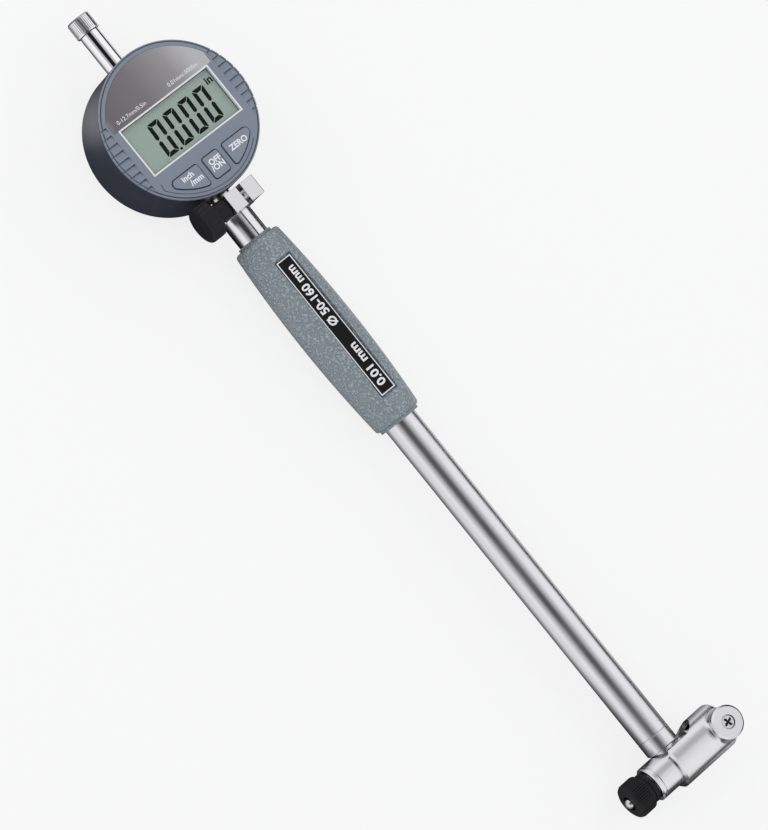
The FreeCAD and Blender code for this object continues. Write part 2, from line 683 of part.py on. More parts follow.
def make_back_cover():
    """Raised back cover with a flat face to rest on and a round battery well."""
    body = new_body("back_cover", INDICATOR)
    turn_z(body, [
        ("0", "-axis_height"), ("cover_radius - 0.8", "-axis_height"), ("cover_radius", "-axis_height + 0.8"),
        ("cover_radius", "-case_back"), ("cover_plug", "-case_back"), ("cover_plug", "-case_back + 1.8"),
        ("0", "-case_back + 1.8")])
    well = ("0", "battery_place")
    pocket(body, "XY_Plane", "-axis_height - 1", "-axis_height + 1.7", (well, "11.1"))
    pocket(body, "XY_Plane", "-axis_height + 1.7", "-case_back + 3", (well, "10.2"))
    for x_sign, y_sign in SCREW_CORNERS:
        spot = screw_place(x_sign, y_sign)
        pocket(body, "XY_Plane", "-axis_height - 1", "-case_back + 1", (spot, "0.8"))
        pocket(body, "XY_Plane", "-axis_height - 1", "-axis_height + 1.3", (spot, "1.5"))


def make_cover_screws():
    """Four like screws in one node: a slotted cheese head on a short shank."""
    group = []
    for x_sign, y_sign in SCREW_CORNERS:
        spot = [number(text) for text in screw_place(x_sign, y_sign)]
        x, y = spot[0], spot[1] + number(INDICATOR_Y)
        head = Part.makeCylinder(1.4, 1.0, FreeCAD.Vector(x, y, 0.3))
        shank = Part.makeCylinder(0.8, 4.0, FreeCAD.Vector(x, y, 1.3))
        slot = Part.makeBox(2.8, 0.4, 0.4, FreeCAD.Vector(x - 1.4, y - 0.2, 0.3))
        group.append(head.fuse(shank).cut(slot))
    screws = doc.addObject("Part::Feature", "cover_screws")
    screws.Label = "cover_screws"
    screws.Shape = Part.makeCompound(group)
    parts.append(screws)


def make_battery():
    body = new_body("battery", ("0", INDICATOR_Y + " + battery_place", "axis_height"))
    turn_z(body, [
        ("0", "-axis_height + 1.8"), ("9.6", "-axis_height + 1.8"), ("10", "-axis_height + 2.2"),
        ("10", "-axis_height + 4.4"), ("9.2", "-axis_height + 4.6"), ("9.2", "-axis_height + 5"),
        ("0", "-axis_height + 5")])


def make_battery_cap():
    """Round cap in the back cover, turned by a coin."""
    body = new_body("battery_cap", ("0", INDICATOR_Y + " + battery_place", "axis_height"))
    turn_z(body, [("0", "-axis_height"), ("10.7", "-axis_height"), ("11", "-axis_height + 0.3"),
                  ("11", "-axis_height + 1.6"), ("0", "-axis_height + 1.6")])
    pocket(body, "XY_Plane", "-axis_height - 1", "-axis_height + 0.9", box("-7", "7", "-0.9", "0.9"))


def make_battery_contact():
    body = new_body("battery_contact", ("0", INDICATOR_Y + " + battery_place", "axis_height"))
    pad(body, "XY_Plane", "-case_back + 1.8", "-case_back + 2.2", box("-13", "13", "-2", "2"))


def make_stem():
    body = new_body("stem", INDICATOR)
    turn_y(body, tube_wall("spindle_radius + fit_gap", "stem_radius", "-stem_end", "-case_ledge + 1.5"))
    soften(body, "0.4", lambda edge: edge.CenterOfMass.y < -50 and edge.Length > 20, "Chamfer")


def make_upper_tube():
    body = new_body("upper_tube", INDICATOR)
    turn_y(body, [
        ("spindle_radius + 0.6", "case_ledge - 1.5"), ("upper_tube_radius", "case_ledge - 1.5"),
        ("upper_tube_radius", "upper_tube_end"), ("upper_tube_radius - 0.75", "upper_tube_end"),
        ("upper_tube_radius - 0.75", "cap_reach - 2.5"), ("spindle_radius + 0.6", "cap_reach - 2.5")])


def make_upper_cap():
    """Knurled dust cap on the upper tube."""
    body = new_body("upper_cap", INDICATOR)
    bore = "upper_tube_radius - 0.75 + fit_gap"
    turn_y(body, [
        (bore, "upper_tube_end + play"), ("cap_radius - 0.3", "upper_tube_end + play"),
        ("cap_radius", "upper_tube_end + 0.4"), ("cap_radius", "cap_reach - 0.6"),
        ("cap_radius - 0.6", "cap_reach"), ("0", "cap_reach"), ("0", "cap_reach - 1.8"),
        (bore, "cap_reach - 1.8")])
    groove = pocket(body, "XZ_Plane", "upper_tube_end + 0.9", "cap_reach + 1",
                    [("cap_radius - 0.25", "0"), ("cap_radius + 0.25", "-0.34"), ("cap_radius + 0.25", "0.34")])
    ring_pattern(body, groove, "Y_Axis", 40)


def make_spindle():
    """Measuring spindle with a flat for the scale plate and a shoulder for its spring."""
    body = new_body("spindle", INDICATOR)
    turn_y(body, [
        ("0", "-spindle_end"), ("spindle_radius", "-spindle_end"), ("spindle_radius", "6"),
        ("spindle_radius + 1.6", "6"), ("spindle_radius + 1.6", "7.2"), ("spindle_radius", "7.2"),
        ("spindle_radius", "40"), ("spindle_radius - 0.5", "40.5"), ("0", "40.5")])
    pocket(body, "XY_Plane", "1.5", "3", box("-3", "3", "-22", "4"))


def make_spindle_tip():
    """Contact point screwed on the spindle's end, with a ball end."""
    body = new_body("spindle_tip", INDICATOR)
    end = "-(centre_distance - rod_top - play)"
    turn_y(body, [
        ("0", "-spindle_end"), ("0", end, "1.5", 1), ("1.5", "%s + 1.5" % end),
        ("1.9", "-spindle_end - 3"), ("1.9", "-spindle_end")])


def make_scale_plate():
    body = new_body("scale_plate", INDICATOR)
    pad(body, "XY_Plane", "1.5", "2.5", box("-5.5", "5.5", "-21.5", "3.5"))


def make_circuit_board():
    body = new_body("circuit_board", INDICATOR)
    pad(body, "XY_Plane", "board_place", "board_place + 1.2", (("0", "0"), "case_bore - 0.2"))


def make_zebra_strips():
    """Two rubber connector strips between the board and the display, in one node."""
    strips = []
    low = number("axis_height + board_place + 1.2")
    high = number("axis_height + case_front - 1.8")
    for y in (number("window_low + 1"), number("window_high - 2.6")):
        corner = FreeCAD.Vector(-18, y + number(INDICATOR_Y), low)
        strips.append(Part.makeBox(36, 1.6, high - low, corner))
    zebra = doc.addObject("Part::Feature", "zebra_strips")
    zebra.Label = "zebra_strips"
    zebra.Shape = Part.makeCompound(strips)
    parts.append(zebra)


def make_lcd_panel():
    body = new_body("lcd_panel", INDICATOR)
    pad(body, "XY_Plane", "case_front - 1.8", "case_front",
        box("-window_half_x + 0.2", "window_half_x - 0.2", "window_low + 0.2", "window_high - 0.2"))


def make_lcd_window():
    body = new_body("lcd_window", INDICATOR)
    pad(body, "XY_Plane", "case_front", "bezel_front - 0.2",
        box("-window_half_x", "window_half_x", "window_low", "window_high"))


def make_lcd_frame():
    """Narrow frame round the display window."""
    body = new_body("lcd_frame", INDICATOR)
    pad(body, "XY_Plane", "bezel_back", "bezel_front + 0.05",
        box("-window_half_x - frame_width", "window_half_x + frame_width",
            "window_low - frame_width", "window_high + frame_width"),
        box("-window_half_x", "window_half_x", "window_low", "window_high"))


def side_button(side, grow):
    """Outline of an outer button: straight top and inner side, and an arc along the rim."""
    inner, outer = "(button_inner - %s)" % grow, "(button_outer + %s)" % grow
    arc, top = "(button_arc + %s)" % grow, "(button_top + %s)" % grow
    drop = "-sqrt(%s * %s - %s * %s)"
    near = drop % (arc, arc, inner, inner)
    far = drop % (arc, arc, outer, outer)
    if side < 0:
        return [("-" + outer, top), ("-" + outer, far, arc, 1), ("-" + inner, near), ("-" + inner, top)]
    return [(outer, top), (inner, top), (inner, near, arc, 1), (outer, far)]


def middle_button(grow):
    return box("-button_mid_half - %s" % grow, "button_mid_half + %s" % grow,
               "button_mid_low - %s" % grow, "button_top + %s" % grow)


def outer_corner(edge):
    """True for the upright edge at the upper outer corner of a side button or of its opening."""
    return upright(edge) and abs(edge.CenterOfMass.x) > 15 and -18 < edge.CenterOfMass.y < -15


BUTTONS = {"button_unit": lambda grow: side_button(-1, grow),
           "button_power": middle_button,
           "button_zero": lambda grow: side_button(1, grow)}


def make_button(label):
    """Key cap with rounded corners and a flange that keeps it under the bezel."""
    body = new_body(label, INDICATOR)
    outline = BUTTONS[label]
    pad(body, "XY_Plane", "bezel_back - 0.9", "button_face", outline("0"))
    soften(body, "0.9", lambda edge: upright(edge) and not outer_corner(edge))
    if label != "button_power":
        soften(body, "1.5", outer_corner)
    pad(body, "XY_Plane", "bezel_back - 0.9", "bezel_back - 0.15", outline("0.7"))


def make_button_pad():
    """Rubber switch mat: a base on the board and one post under each button."""
    body = new_body("button_pad", INDICATOR)
    base, top = "board_place + 1.2", "board_place + 2"
    pad(body, "XY_Plane", base, top, box("-15", "15", "-22", "-17.5"))
    for x in ("-11.5", "0", "11.5"):
        pad(body, "XY_Plane", base, "bezel_back - 1.5", ((x, "-20"), "1.8"))


def make_front_bezel():
    """Front of the case: a plate with a lipped rim, the openings, grip louvres and a skirt."""
    body = new_body("front_bezel", INDICATOR)
    skirt = "case_bore - 0.1"
    turn_z(body, [
        ("0", "bezel_back"), ("%s - 0.6" % skirt, "bezel_back"), ("%s - 0.6" % skirt, "board_place + 1.2"),
        (skirt, "board_place + 1.2"), (skirt, "bezel_back"), ("case_radius - 0.1", "bezel_back"),
        ("case_radius", "bezel_back + 0.2"), ("case_radius", "bezel_front - 0.5"),
        ("case_radius - 0.25", "bezel_front - 0.25"), ("rim_lip", "bezel_front - 0.25"),
        ("rim_lip", "bezel_front - 0.9"), ("rim_line", "bezel_front - 0.9"), ("rim_line", "bezel_front - 0.1"),
        ("rim_line - 0.1", "bezel_front"), ("0", "bezel_front")])
    # recess for the face plate: a segment of a circle above the display
    pocket(body, "XY_Plane", "bezel_front - plate_depth", "bezel_front + 1", plate_outline("0.1"))
    # display opening, then the three button openings
    pocket(body, "XY_Plane", "bezel_back - 1", "bezel_front + 1",
           box("-window_half_x - frame_width", "window_half_x + frame_width",
               "window_low - frame_width", "window_high + frame_width"))
    for outline in BUTTONS.values():
        pocket(body, "XY_Plane", "bezel_back", "bezel_front + 1", outline("button_gap"))
    soften(body, "1.35", lambda edge: upright(edge) and edge.CenterOfMass.y < -14 and not outer_corner(edge))
    soften(body, "1.95", outer_corner)
    # grip louvres across both sides of the rim: each falls towards a slit at its upper end
    louvres = [louvre("%d * louvre_pitch + 0.45" % row) for row in range(-4, 5)]
    pocket(body, "YZ_Plane", "louvre_inner", "case_radius + 1", *louvres)
    pocket(body, "YZ_Plane", "-case_radius - 1", "-louvre_inner", *louvres)
    # fine groove that follows the rim below the buttons, with a hook at its left end
    inner, outer = "(groove_radius - groove_half)", "(groove_radius + groove_half)"
    ends = [on_ring(outer, 218), on_ring(outer, 310), on_ring(inner, 310), on_ring(inner, 218)]
    pocket(body, "XY_Plane", "bezel_front - 0.4", "bezel_front + 1", [
        ends[0] + (outer, 1), ends[1], ends[2] + (inner, -1), ends[3]])
    pocket(body, "XY_Plane", "bezel_front - 0.4", "bezel_front + 1", [
        on_ring(inner, 218.2), on_ring(outer, 217.6), on_ring("(groove_radius - 1.6)", 213.4),
        on_ring("(groove_radius - 1.9)", 214.2)])


def louvre(step):
    """Section of one grip louvre: a slit under the step and a slope that rises away from it."""
    front = "bezel_front + 1"
    root, start = "bezel_front - louvre_root", "%s - louvre_slit" % step
    return [(step, front), ("%s - louvre_reach" % step, front), ("%s - louvre_reach" % step, "bezel_front"),
            (start, "bezel_front - louvre_fall"), (start, root), (step, root)]


def on_ring(radius, turn):
    """A point at a radius and an angle round the indicator's centre."""
    return ("%s * cos(%s)" % (radius, turn), "%s * sin(%s)" % (radius, turn))


def plate_outline(grow):
    """Circle segment above the display, cut square at both sides."""
    radius, half = "(plate_radius + %s)" % grow, "(plate_half + %s)" % grow
    shoulder = "sqrt(%s * %s - %s * %s)" % (radius, radius, half, half)
    low = "(window_high + frame_width - %s)" % grow
    return [("-" + half, low), (half, low), (half, shoulder, radius, 1), ("-" + half, shoulder)]


def make_face_plate():
    body = new_body("face_plate", INDICATOR)
    pad(body, "XY_Plane", "bezel_front - plate_depth", "bezel_front", plate_outline("0"))


# ---------------------------------------------------------------- build

def build():
    make_head_body()
    make_tube_collar()
    make_anvil()
    make_lock_nut()
    make_bell_crank()
    make_crank_pin()
    make_contact_plunger()
    make_guide_bush()
    make_stop_screw()
    make_bridge()
    for label, side in (("near", 1), ("far", -1)):
        make_roller("roller_" + label, side)
        make_roller_screw("roller_screw_" + label, side)
    make_spring("contact_spring", HEAD, (1, 0, 0), "chamber_start", "bush_start - 1.1", 2.4, 0.25, 4)
    make_spring("bridge_spring", HEAD, (1, 0, 0), "bush_end", "bridge_cavity + 4.2", 3.3, 0.3, 4)
    make_main_tube()
    make_push_rod()
    make_stem_holder()
    make_handle_grip()
    make_label_plate()
    make_clamp_collar()
    make_clamp_knob()
    make_clamp_screw()
    make_rear_case()
    make_back_cover()
    make_cover_screws()
    make_battery()
    make_battery_cap()
    make_battery_contact()
    make_stem()
    make_upper_tube()
    make_upper_cap()
    make_spindle()
    make_spindle_tip()
    make_spring("spindle_spring", INDICATOR, (0, 1, 0), "7.2", "case_ledge - 1.5", 2.8, 0.3, 7)
    make_scale_plate()
    make_circuit_board()
    make_zebra_strips()
    make_lcd_panel()
    make_lcd_window()
    make_lcd_frame()
    for label in BUTTONS:
        make_button(label)
    make_button_pad()
    make_front_bezel()
    make_face_plate()
    doc.recompute()


def check():
    """Stop if any object failed, any cut removed nothing or any shape is not sound."""
    failed = [item.Label for item in doc.Objects if "Invalid" in item.State or "Error" in item.State]
    if failed:
        raise RuntimeError("these failed: " + ", ".join(failed))
    for cut in cuts:
        before = cut.BaseFeature.Shape.Volume
        if cut.Shape.Volume > before - 1e-4:
            raise RuntimeError(cut.Label + " cuts nothing")
    for part in parts:
        if part.Shape.isNull() or not part.Shape.isValid():
            raise RuntimeError(part.Label + " has no sound shape")


def export():
    os.makedirs("parts", exist_ok=True)
    for part in parts:
        part.Shape.exportStep(os.path.join("parts", part.Label + ".step"))
        print("%-18s %9.1f mm3, %d solid(s)" % (part.Label, part.Shape.Volume, len(part.Shape.Solids)))


build()
check()
export()
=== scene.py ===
# %% [markdown]
# # A long bore gauge with a digital indicator
# The gauge measures the width of a hole. A head at one end of a long tube carries a fixed anvil
# and a sprung contact; a rod inside the tube passes the contact's travel to the round indicator.
# The solids come from the imported model, so this script gives them their finish and adds what is
# too fine for them: the display's digits, the printing, a painted shade of the cross recesses in
# two screws and the marks of use.

# %% Load the imported model
import json
import math

import bmesh
import bpy
from mathutils import Matrix, Quaternion, Vector


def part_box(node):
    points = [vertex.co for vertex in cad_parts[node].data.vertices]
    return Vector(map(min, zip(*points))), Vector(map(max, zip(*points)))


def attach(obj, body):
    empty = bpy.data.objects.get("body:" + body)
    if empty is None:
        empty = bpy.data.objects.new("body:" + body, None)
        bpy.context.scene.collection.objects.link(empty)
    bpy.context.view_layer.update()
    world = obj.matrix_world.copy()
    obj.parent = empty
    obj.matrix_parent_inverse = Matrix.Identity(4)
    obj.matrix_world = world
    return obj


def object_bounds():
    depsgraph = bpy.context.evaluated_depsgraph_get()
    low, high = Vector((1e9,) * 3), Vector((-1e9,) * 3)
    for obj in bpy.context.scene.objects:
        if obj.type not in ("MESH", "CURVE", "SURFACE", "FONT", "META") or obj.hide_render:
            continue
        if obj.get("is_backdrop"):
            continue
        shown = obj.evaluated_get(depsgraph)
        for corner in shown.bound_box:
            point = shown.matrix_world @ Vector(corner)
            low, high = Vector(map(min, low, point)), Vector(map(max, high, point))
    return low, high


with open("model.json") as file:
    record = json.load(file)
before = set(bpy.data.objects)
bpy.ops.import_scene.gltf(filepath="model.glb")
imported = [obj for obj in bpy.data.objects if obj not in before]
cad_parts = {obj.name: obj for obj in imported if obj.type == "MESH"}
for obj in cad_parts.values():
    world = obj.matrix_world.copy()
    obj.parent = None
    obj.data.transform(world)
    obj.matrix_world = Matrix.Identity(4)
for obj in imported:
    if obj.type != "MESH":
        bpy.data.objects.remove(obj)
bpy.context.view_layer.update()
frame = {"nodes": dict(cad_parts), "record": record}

MM = 0.001
nodes = frame["nodes"]

# %% [markdown]
# Most places in this script are worked out from the boxes of the solids, so that they follow
# the model if it is packed again. Two of them are used again and again: the middle of the
# indicator and the middle of the head, both at the height of the tube's axis.

# %% Key places
def middle(node):
    """The middle of a solid's box."""
    low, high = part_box(node)
    return (low + high) / 2


AXIS_HEIGHT = middle("main_tube").z
INDICATOR = Vector((0, middle("front_bezel").y, AXIS_HEIGHT))
HEAD = Vector((0, middle("lock_nut").y, AXIS_HEIGHT))
print("indicator", [round(v, 4) for v in INDICATOR], "head", [round(v, 4) for v in HEAD])

# %% [markdown]
# ## Camera
# The gauge is long and thin, so it is set across the frame's diagonal. The camera stands high
# on the anvil's side, a metre and a half away, and is rolled about its own line of sight. A long
# lens keeps the tube's sides nearly parallel.

# %% Camera
def direction(azimuth, elevation):
    """Unit vector towards a camera that stands at these angles, in degrees."""
    turn, rise = math.radians(azimuth), math.radians(elevation)
    flat = math.cos(rise)
    return Vector((math.sin(turn) * flat, -math.cos(turn) * flat, math.sin(rise)))


CAMERA_SIDE = direction(-93.69, 67.21)
CAMERA_DISTANCE = 1.5195
CAMERA_ROLL = math.radians(54.61)
AIM = Vector((-0.0035, -0.0035, AXIS_HEIGHT))

lens = bpy.data.cameras.new("camera")
lens.lens = 182.04
lens.sensor_width = 36
camera = bpy.data.objects.new("camera", lens)
camera.location = AIM + CAMERA_SIDE * CAMERA_DISTANCE
camera.rotation_mode = "QUATERNION"
roll = Quaternion(CAMERA_SIDE, CAMERA_ROLL)
camera.rotation_quaternion = roll @ CAMERA_SIDE.to_track_quat("Z", "Y")
bpy.context.scene.collection.objects.link(camera)
bpy.context.scene.camera = camera
bpy.context.scene.view_settings.view_transform = "Standard"
print("camera at", [round(v, 3) for v in camera.location])

# %% [markdown]
# ## Floor, sky and lamps
# Polished metal shows its surroundings, so the studio matters as much as the metal. The sky is
# pale, with a dark patch high on the anvil's side that draws the dark line along each tube, a
# half-dark ring round that, and a fainter patch on the contact's side. They could be dark panels
# above the table; as parts of the sky they stay the same from every place on the gauge.

# %% Node helpers
def add(tree, kind, **settings):
    """A new node with its settings, and its inputs set by name."""
    node = tree.nodes.new(kind)
    for name, value in settings.items():
        if name in node.inputs:
            node.inputs[name].default_value = value
        else:
            setattr(node, name, value)
    return node


def ramp(tree, source, stops):
    """A colour ramp fed by a socket. Each stop is a place and a grey level or a colour."""
    node = tree.nodes.new("ShaderNodeValToRGB")
    tree.links.new(source, node.inputs["Fac"])
    elements = node.color_ramp.elements
    while len(elements) < len(stops):
        elements.new(0.5)
    for element, (place, level) in zip(elements, stops):
        element.position = place
        element.color = level if isinstance(level, tuple) else (level, level, level, 1)
    return node.outputs["Color"]


# %% Sky
def dark_patch(tree, view, towards, inner, outer, level):
    """1 away from a direction and a lower level at it, with a soft edge between two angles."""
    dot = add(tree, "ShaderNodeVectorMath", operation="DOT_PRODUCT")
    tree.links.new(view, dot.inputs[0])
    dot.inputs[1].default_value = towards.normalized()
    blend = add(tree, "ShaderNodeMapRange", interpolation_type="SMOOTHSTEP")
    tree.links.new(dot.outputs["Value"], blend.inputs["Value"])
    blend.inputs["From Min"].default_value = math.cos(math.radians(outer))
    blend.inputs["From Max"].default_value = math.cos(math.radians(inner))
    blend.inputs["To Min"].default_value = 1
    blend.inputs["To Max"].default_value = level
    return blend.outputs["Result"]


def multiply(tree, first, second):
    """The product of two sockets."""
    node = add(tree, "ShaderNodeMath", operation="MULTIPLY")
    tree.links.new(first, node.inputs[0])
    tree.links.new(second, node.inputs[1])
    return node.outputs[0]


sky = bpy.data.worlds.new("studio_sky")
bpy.context.scene.world = sky
sky.use_nodes = True
tree = sky.node_tree
tree.nodes.clear()
CONTACT_SIDE = Vector((0.39, 0.46, 0.80))
view = add(tree, "ShaderNodeTexCoord").outputs["Generated"]
overhead = dark_patch(tree, view, CAMERA_SIDE, inner=15, outer=25, level=0.02)
halftone = dark_patch(tree, view, CAMERA_SIDE, inner=30, outer=50, level=0.50)
behind = dark_patch(tree, view, CONTACT_SIDE, inner=6, outer=24, level=0.50)
path = add(tree, "ShaderNodeLightPath")
seen = multiply(tree, multiply(tree, overhead, halftone), behind)
studio = add(tree, "ShaderNodeBackground", Color=(0.93, 0.925, 0.94, 1), Strength=0.95)
reflected = add(tree, "ShaderNodeBackground", Strength=1.0)
tree.links.new(ramp(tree, seen, [(0, 0.0), (1, 1.0)]), reflected.inputs["Color"])
fill = add(tree, "ShaderNodeBackground", Color=(0.96, 0.98, 1.0, 1), Strength=0.66)
glossy = add(tree, "ShaderNodeMixShader")
tree.links.new(path.outputs["Is Glossy Ray"], glossy.inputs["Fac"])
tree.links.new(fill.outputs[0], glossy.inputs[1])
tree.links.new(reflected.outputs[0], glossy.inputs[2])
straight = add(tree, "ShaderNodeMixShader")
tree.links.new(path.outputs["Is Camera Ray"], straight.inputs["Fac"])
tree.links.new(glossy.outputs[0], straight.inputs[1])
tree.links.new(studio.outputs[0], straight.inputs[2])
tree.links.new(straight.outputs[0], add(tree, "ShaderNodeOutputWorld").inputs["Surface"])
print("sky made with", len(tree.nodes), "nodes")

# %% [markdown]
# ## Floor
# The camera sees the floor nearly white with a faint shadow. Reflections see it dark close to the
# gauge, where a real gauge shades its table, and pale farther out. One material can do both: it
# asks which kind of ray has reached it. The dark zones are worked out from the distance to the
# tube, the indicator and the head.

# %% Floor helpers
def quad(name, corners, material):
    """A flat sheet with four corners, as a part of the stage."""
    mesh = bpy.data.meshes.new(name)
    mesh.from_pydata([tuple(corner) for corner in corners], [], [(0, 1, 2, 3)])
    mesh.materials.append(material)
    piece = bpy.data.objects.new(name, mesh)
    bpy.context.scene.collection.objects.link(piece)
    piece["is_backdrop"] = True
    return piece


def plain_material(name, colour, roughness):
    """A matt paint for the stage."""
    material = bpy.data.materials.new(name)
    material.use_nodes = True
    shader = material.node_tree.nodes["Principled BSDF"]
    shader.inputs["Base Color"].default_value = (*colour, 1)
    shader.inputs["Roughness"].default_value = roughness
    shader.inputs["Specular IOR Level"].default_value = 0.2
    return material


def distance_to(tree, places, centre, squeeze):
    """Distance to a point, in metres, with each axis squeezed or left out."""
    node = add(tree, "ShaderNodeVectorMath", operation="SUBTRACT")
    tree.links.new(places, node.inputs[0])
    node.inputs[1].default_value = centre
    scaled = add(tree, "ShaderNodeVectorMath", operation="MULTIPLY")
    tree.links.new(node.outputs[0], scaled.inputs[0])
    scaled.inputs[1].default_value = squeeze
    length = add(tree, "ShaderNodeVectorMath", operation="LENGTH")
    tree.links.new(scaled.outputs[0], length.inputs[0])
    return length.outputs["Value"]


def step_range(tree, value, low, high, start, end):
    """A soft step from one level to another between two values."""
    node = add(tree, "ShaderNodeMapRange", interpolation_type="SMOOTHSTEP")
    tree.links.new(value, node.inputs["Value"])
    for title, level in (("From Min", low), ("From Max", high), ("To Min", start), ("To Max", end)):
        node.inputs[title].default_value = level
    return node.outputs["Result"]


# %% Floor
FLOOR_HALF = 4
FLOOR_PALE = 0.95
floor_paint = plain_material("floor_paint", (0.82, 0.82, 0.83), 0.9)
quad("floor", [(-FLOOR_HALF, -FLOOR_HALF, 0), (FLOOR_HALF, -FLOOR_HALF, 0),
               (FLOOR_HALF, FLOOR_HALF, 0), (-FLOOR_HALF, FLOOR_HALF, 0)], floor_paint)
tree = floor_paint.node_tree
places = add(tree, "ShaderNodeTexCoord").outputs["Object"]
to_tube = distance_to(tree, places, (0, 0, 0), (1, 0, 0))
to_case = distance_to(tree, places, (*INDICATOR.xy, 0), (1, 1, 0))
to_head = distance_to(tree, places, (*HEAD.xy, 0), (0.7, 1, 0))
near_tube = step_range(tree, to_tube, low=0.004, high=0.034, start=0.10, end=FLOOR_PALE)
near_case = step_range(tree, to_case, low=0.050, high=0.085, start=0.04, end=FLOOR_PALE)
near_head = step_range(tree, to_head, low=0.012, high=0.060, start=0.16, end=FLOOR_PALE)
above_case = add(tree, "ShaderNodeSeparateXYZ")
tree.links.new(places, above_case.inputs[0])
clear = step_range(tree, above_case.outputs["Y"], low=INDICATOR.y + 0.012,
                   high=INDICATOR.y + 0.030, start=0.0, end=1.0)
case_zone = add(tree, "ShaderNodeMath", operation="MAXIMUM")
tree.links.new(near_case, case_zone.inputs[0])
tree.links.new(clear, case_zone.inputs[1])
mirrored = multiply(tree, multiply(tree, near_tube, near_head), case_zone.outputs[0])

# %% How the floor answers each kind of ray
# The camera sees mostly plain white. The rest of the paint keeps the shadow.
CAMERA_WHITE = 0.80
look = add(tree, "ShaderNodeEmission")
tree.links.new(ramp(tree, mirrored, [(0, 0.0), (1, 1.0)]), look.inputs["Color"])
white = add(tree, "ShaderNodeEmission", Strength=1.0)
white.inputs["Color"].default_value = (1, 1, 1, 1)
rays = add(tree, "ShaderNodeLightPath")
paint = tree.nodes["Principled BSDF"].outputs[0]
pale = add(tree, "ShaderNodeMixShader")
camera_share = add(tree, "ShaderNodeMath", operation="MULTIPLY")
camera_share.inputs[1].default_value = CAMERA_WHITE
tree.links.new(rays.outputs["Is Camera Ray"], camera_share.inputs[0])
tree.links.new(camera_share.outputs[0], pale.inputs["Fac"])
tree.links.new(paint, pale.inputs[1])
tree.links.new(white.outputs[0], pale.inputs[2])
table = add(tree, "ShaderNodeMixShader")
tree.links.new(rays.outputs["Is Glossy Ray"], table.inputs["Fac"])
tree.links.new(pale.outputs[0], table.inputs[1])
tree.links.new(look.outputs[0], table.inputs[2])
tree.links.new(table.outputs[0], tree.nodes["Material Output"].inputs["Surface"])
print("floor ready")

# %% [markdown]
# ## Cards and lamps
# A shiny tube on a pale ground loses its edges, unless something dark beside it is mirrored in
# them. Two cards stand just outside the gauge, and only reflections see them. Two large soft
# lamps give the forms their shade; they are kept out of reflections, because a lamp's hard square
# edge on a tube would look like a scratch.

# %% Cards
card_black = plain_material("card_black", (0.03, 0.03, 0.03), 0.9)


def card(name, start, end, height):
    """A dark upright card on the floor, seen in reflections only."""
    top = Vector((0, 0, height))
    piece = quad(name, [start, end, end + top, start + top], card_black)
    piece.visible_camera = False
    piece.visible_diffuse = False
    piece.visible_shadow = False
    return piece


CARD_SIDE = 0.052
CARD_REACH = 0.21
head_corner = Vector((CARD_SIDE, -CARD_REACH, 0))
card("card_contact_side", head_corner, Vector((CARD_SIDE, CARD_REACH, 0)), height=0.027)
card("card_head_end", Vector((-CARD_SIDE, -CARD_REACH, 0)), head_corner, height=0.016)

# %% Lamps
LAMP_DISTANCE = 1.6


def soft_lamp(name, towards, size, energy):
    """A square soft lamp that shines on the gauge from a direction."""
    data = bpy.data.lights.new(name, "AREA")
    data.shape = "SQUARE"
    data.size = size
    data.energy = energy
    lamp = bpy.data.objects.new(name, data)
    lamp.location = AIM + towards.normalized() * LAMP_DISTANCE
    lamp.rotation_mode = "QUATERNION"
    lamp.rotation_quaternion = towards.to_track_quat("Z", "Y")
    lamp.visible_glossy = False
    bpy.context.scene.collection.objects.link(lamp)


soft_lamp("key", Vector((-0.55, 0.75, 0.75)), size=0.7, energy=5)
soft_lamp("fill", Vector((0.8, -0.1, 0.8)), size=0.9, energy=4)
print("studio ready")

# %% [markdown]
# ## Effects that several finishes share
# A finish is more than a colour. Moulded plastic has a fine grain, ground steel has lines, the
# grip has a crinkled paint, and everything that is handled carries faint smears. Each effect is a
# small shader group with named inputs, so that each material places it with its own values. A
# group gives out only masks and heights; the shader itself stays in the material.

# %% Group maker
def shader_group(name, inputs, outputs):
    """An empty shader group: inputs are (name, value), outputs are names of values."""
    group = bpy.data.node_groups.new(name, "ShaderNodeTree")
    for title, value in inputs:
        socket = group.interface.new_socket(title, in_out="INPUT", socket_type="NodeSocketFloat")
        socket.default_value = value
    for title in outputs:
        group.interface.new_socket(title, in_out="OUTPUT", socket_type="NodeSocketFloat")
    return group, group.nodes.new("NodeGroupInput"), group.nodes.new("NodeGroupOutput")


def object_places(tree):
    """Places on a piece in the gauge's own frame, so that a pattern rides with its piece."""
    return add(tree, "ShaderNodeTexCoord").outputs["Object"]


def noise(tree, vector, scale=None, value=500.0, detail=2.0, rough=0.5):
    """Noise whose scale comes from a socket or from a number of cells in a metre."""
    node = add(tree, "ShaderNodeTexNoise", Detail=detail, Roughness=rough)
    tree.links.new(vector, node.inputs["Vector"])
    if scale is None:
        node.inputs["Scale"].default_value = value
    else:
        tree.links.new(scale, node.inputs["Scale"])
    return node.outputs["Fac"]


# %% Fine grain of moulded plastic
grain, entry, leave = shader_group("moulded_grain", [("Scale", 2600.0), ("Smears", 60.0)],
                                   ["Height", "Smear"])
spots = object_places(grain)
grain.links.new(noise(grain, spots, entry.outputs["Scale"], detail=3), leave.inputs["Height"])
smears = noise(grain, spots, entry.outputs["Smears"], detail=3, rough=0.6)
grain.links.new(smears, leave.inputs["Smear"])

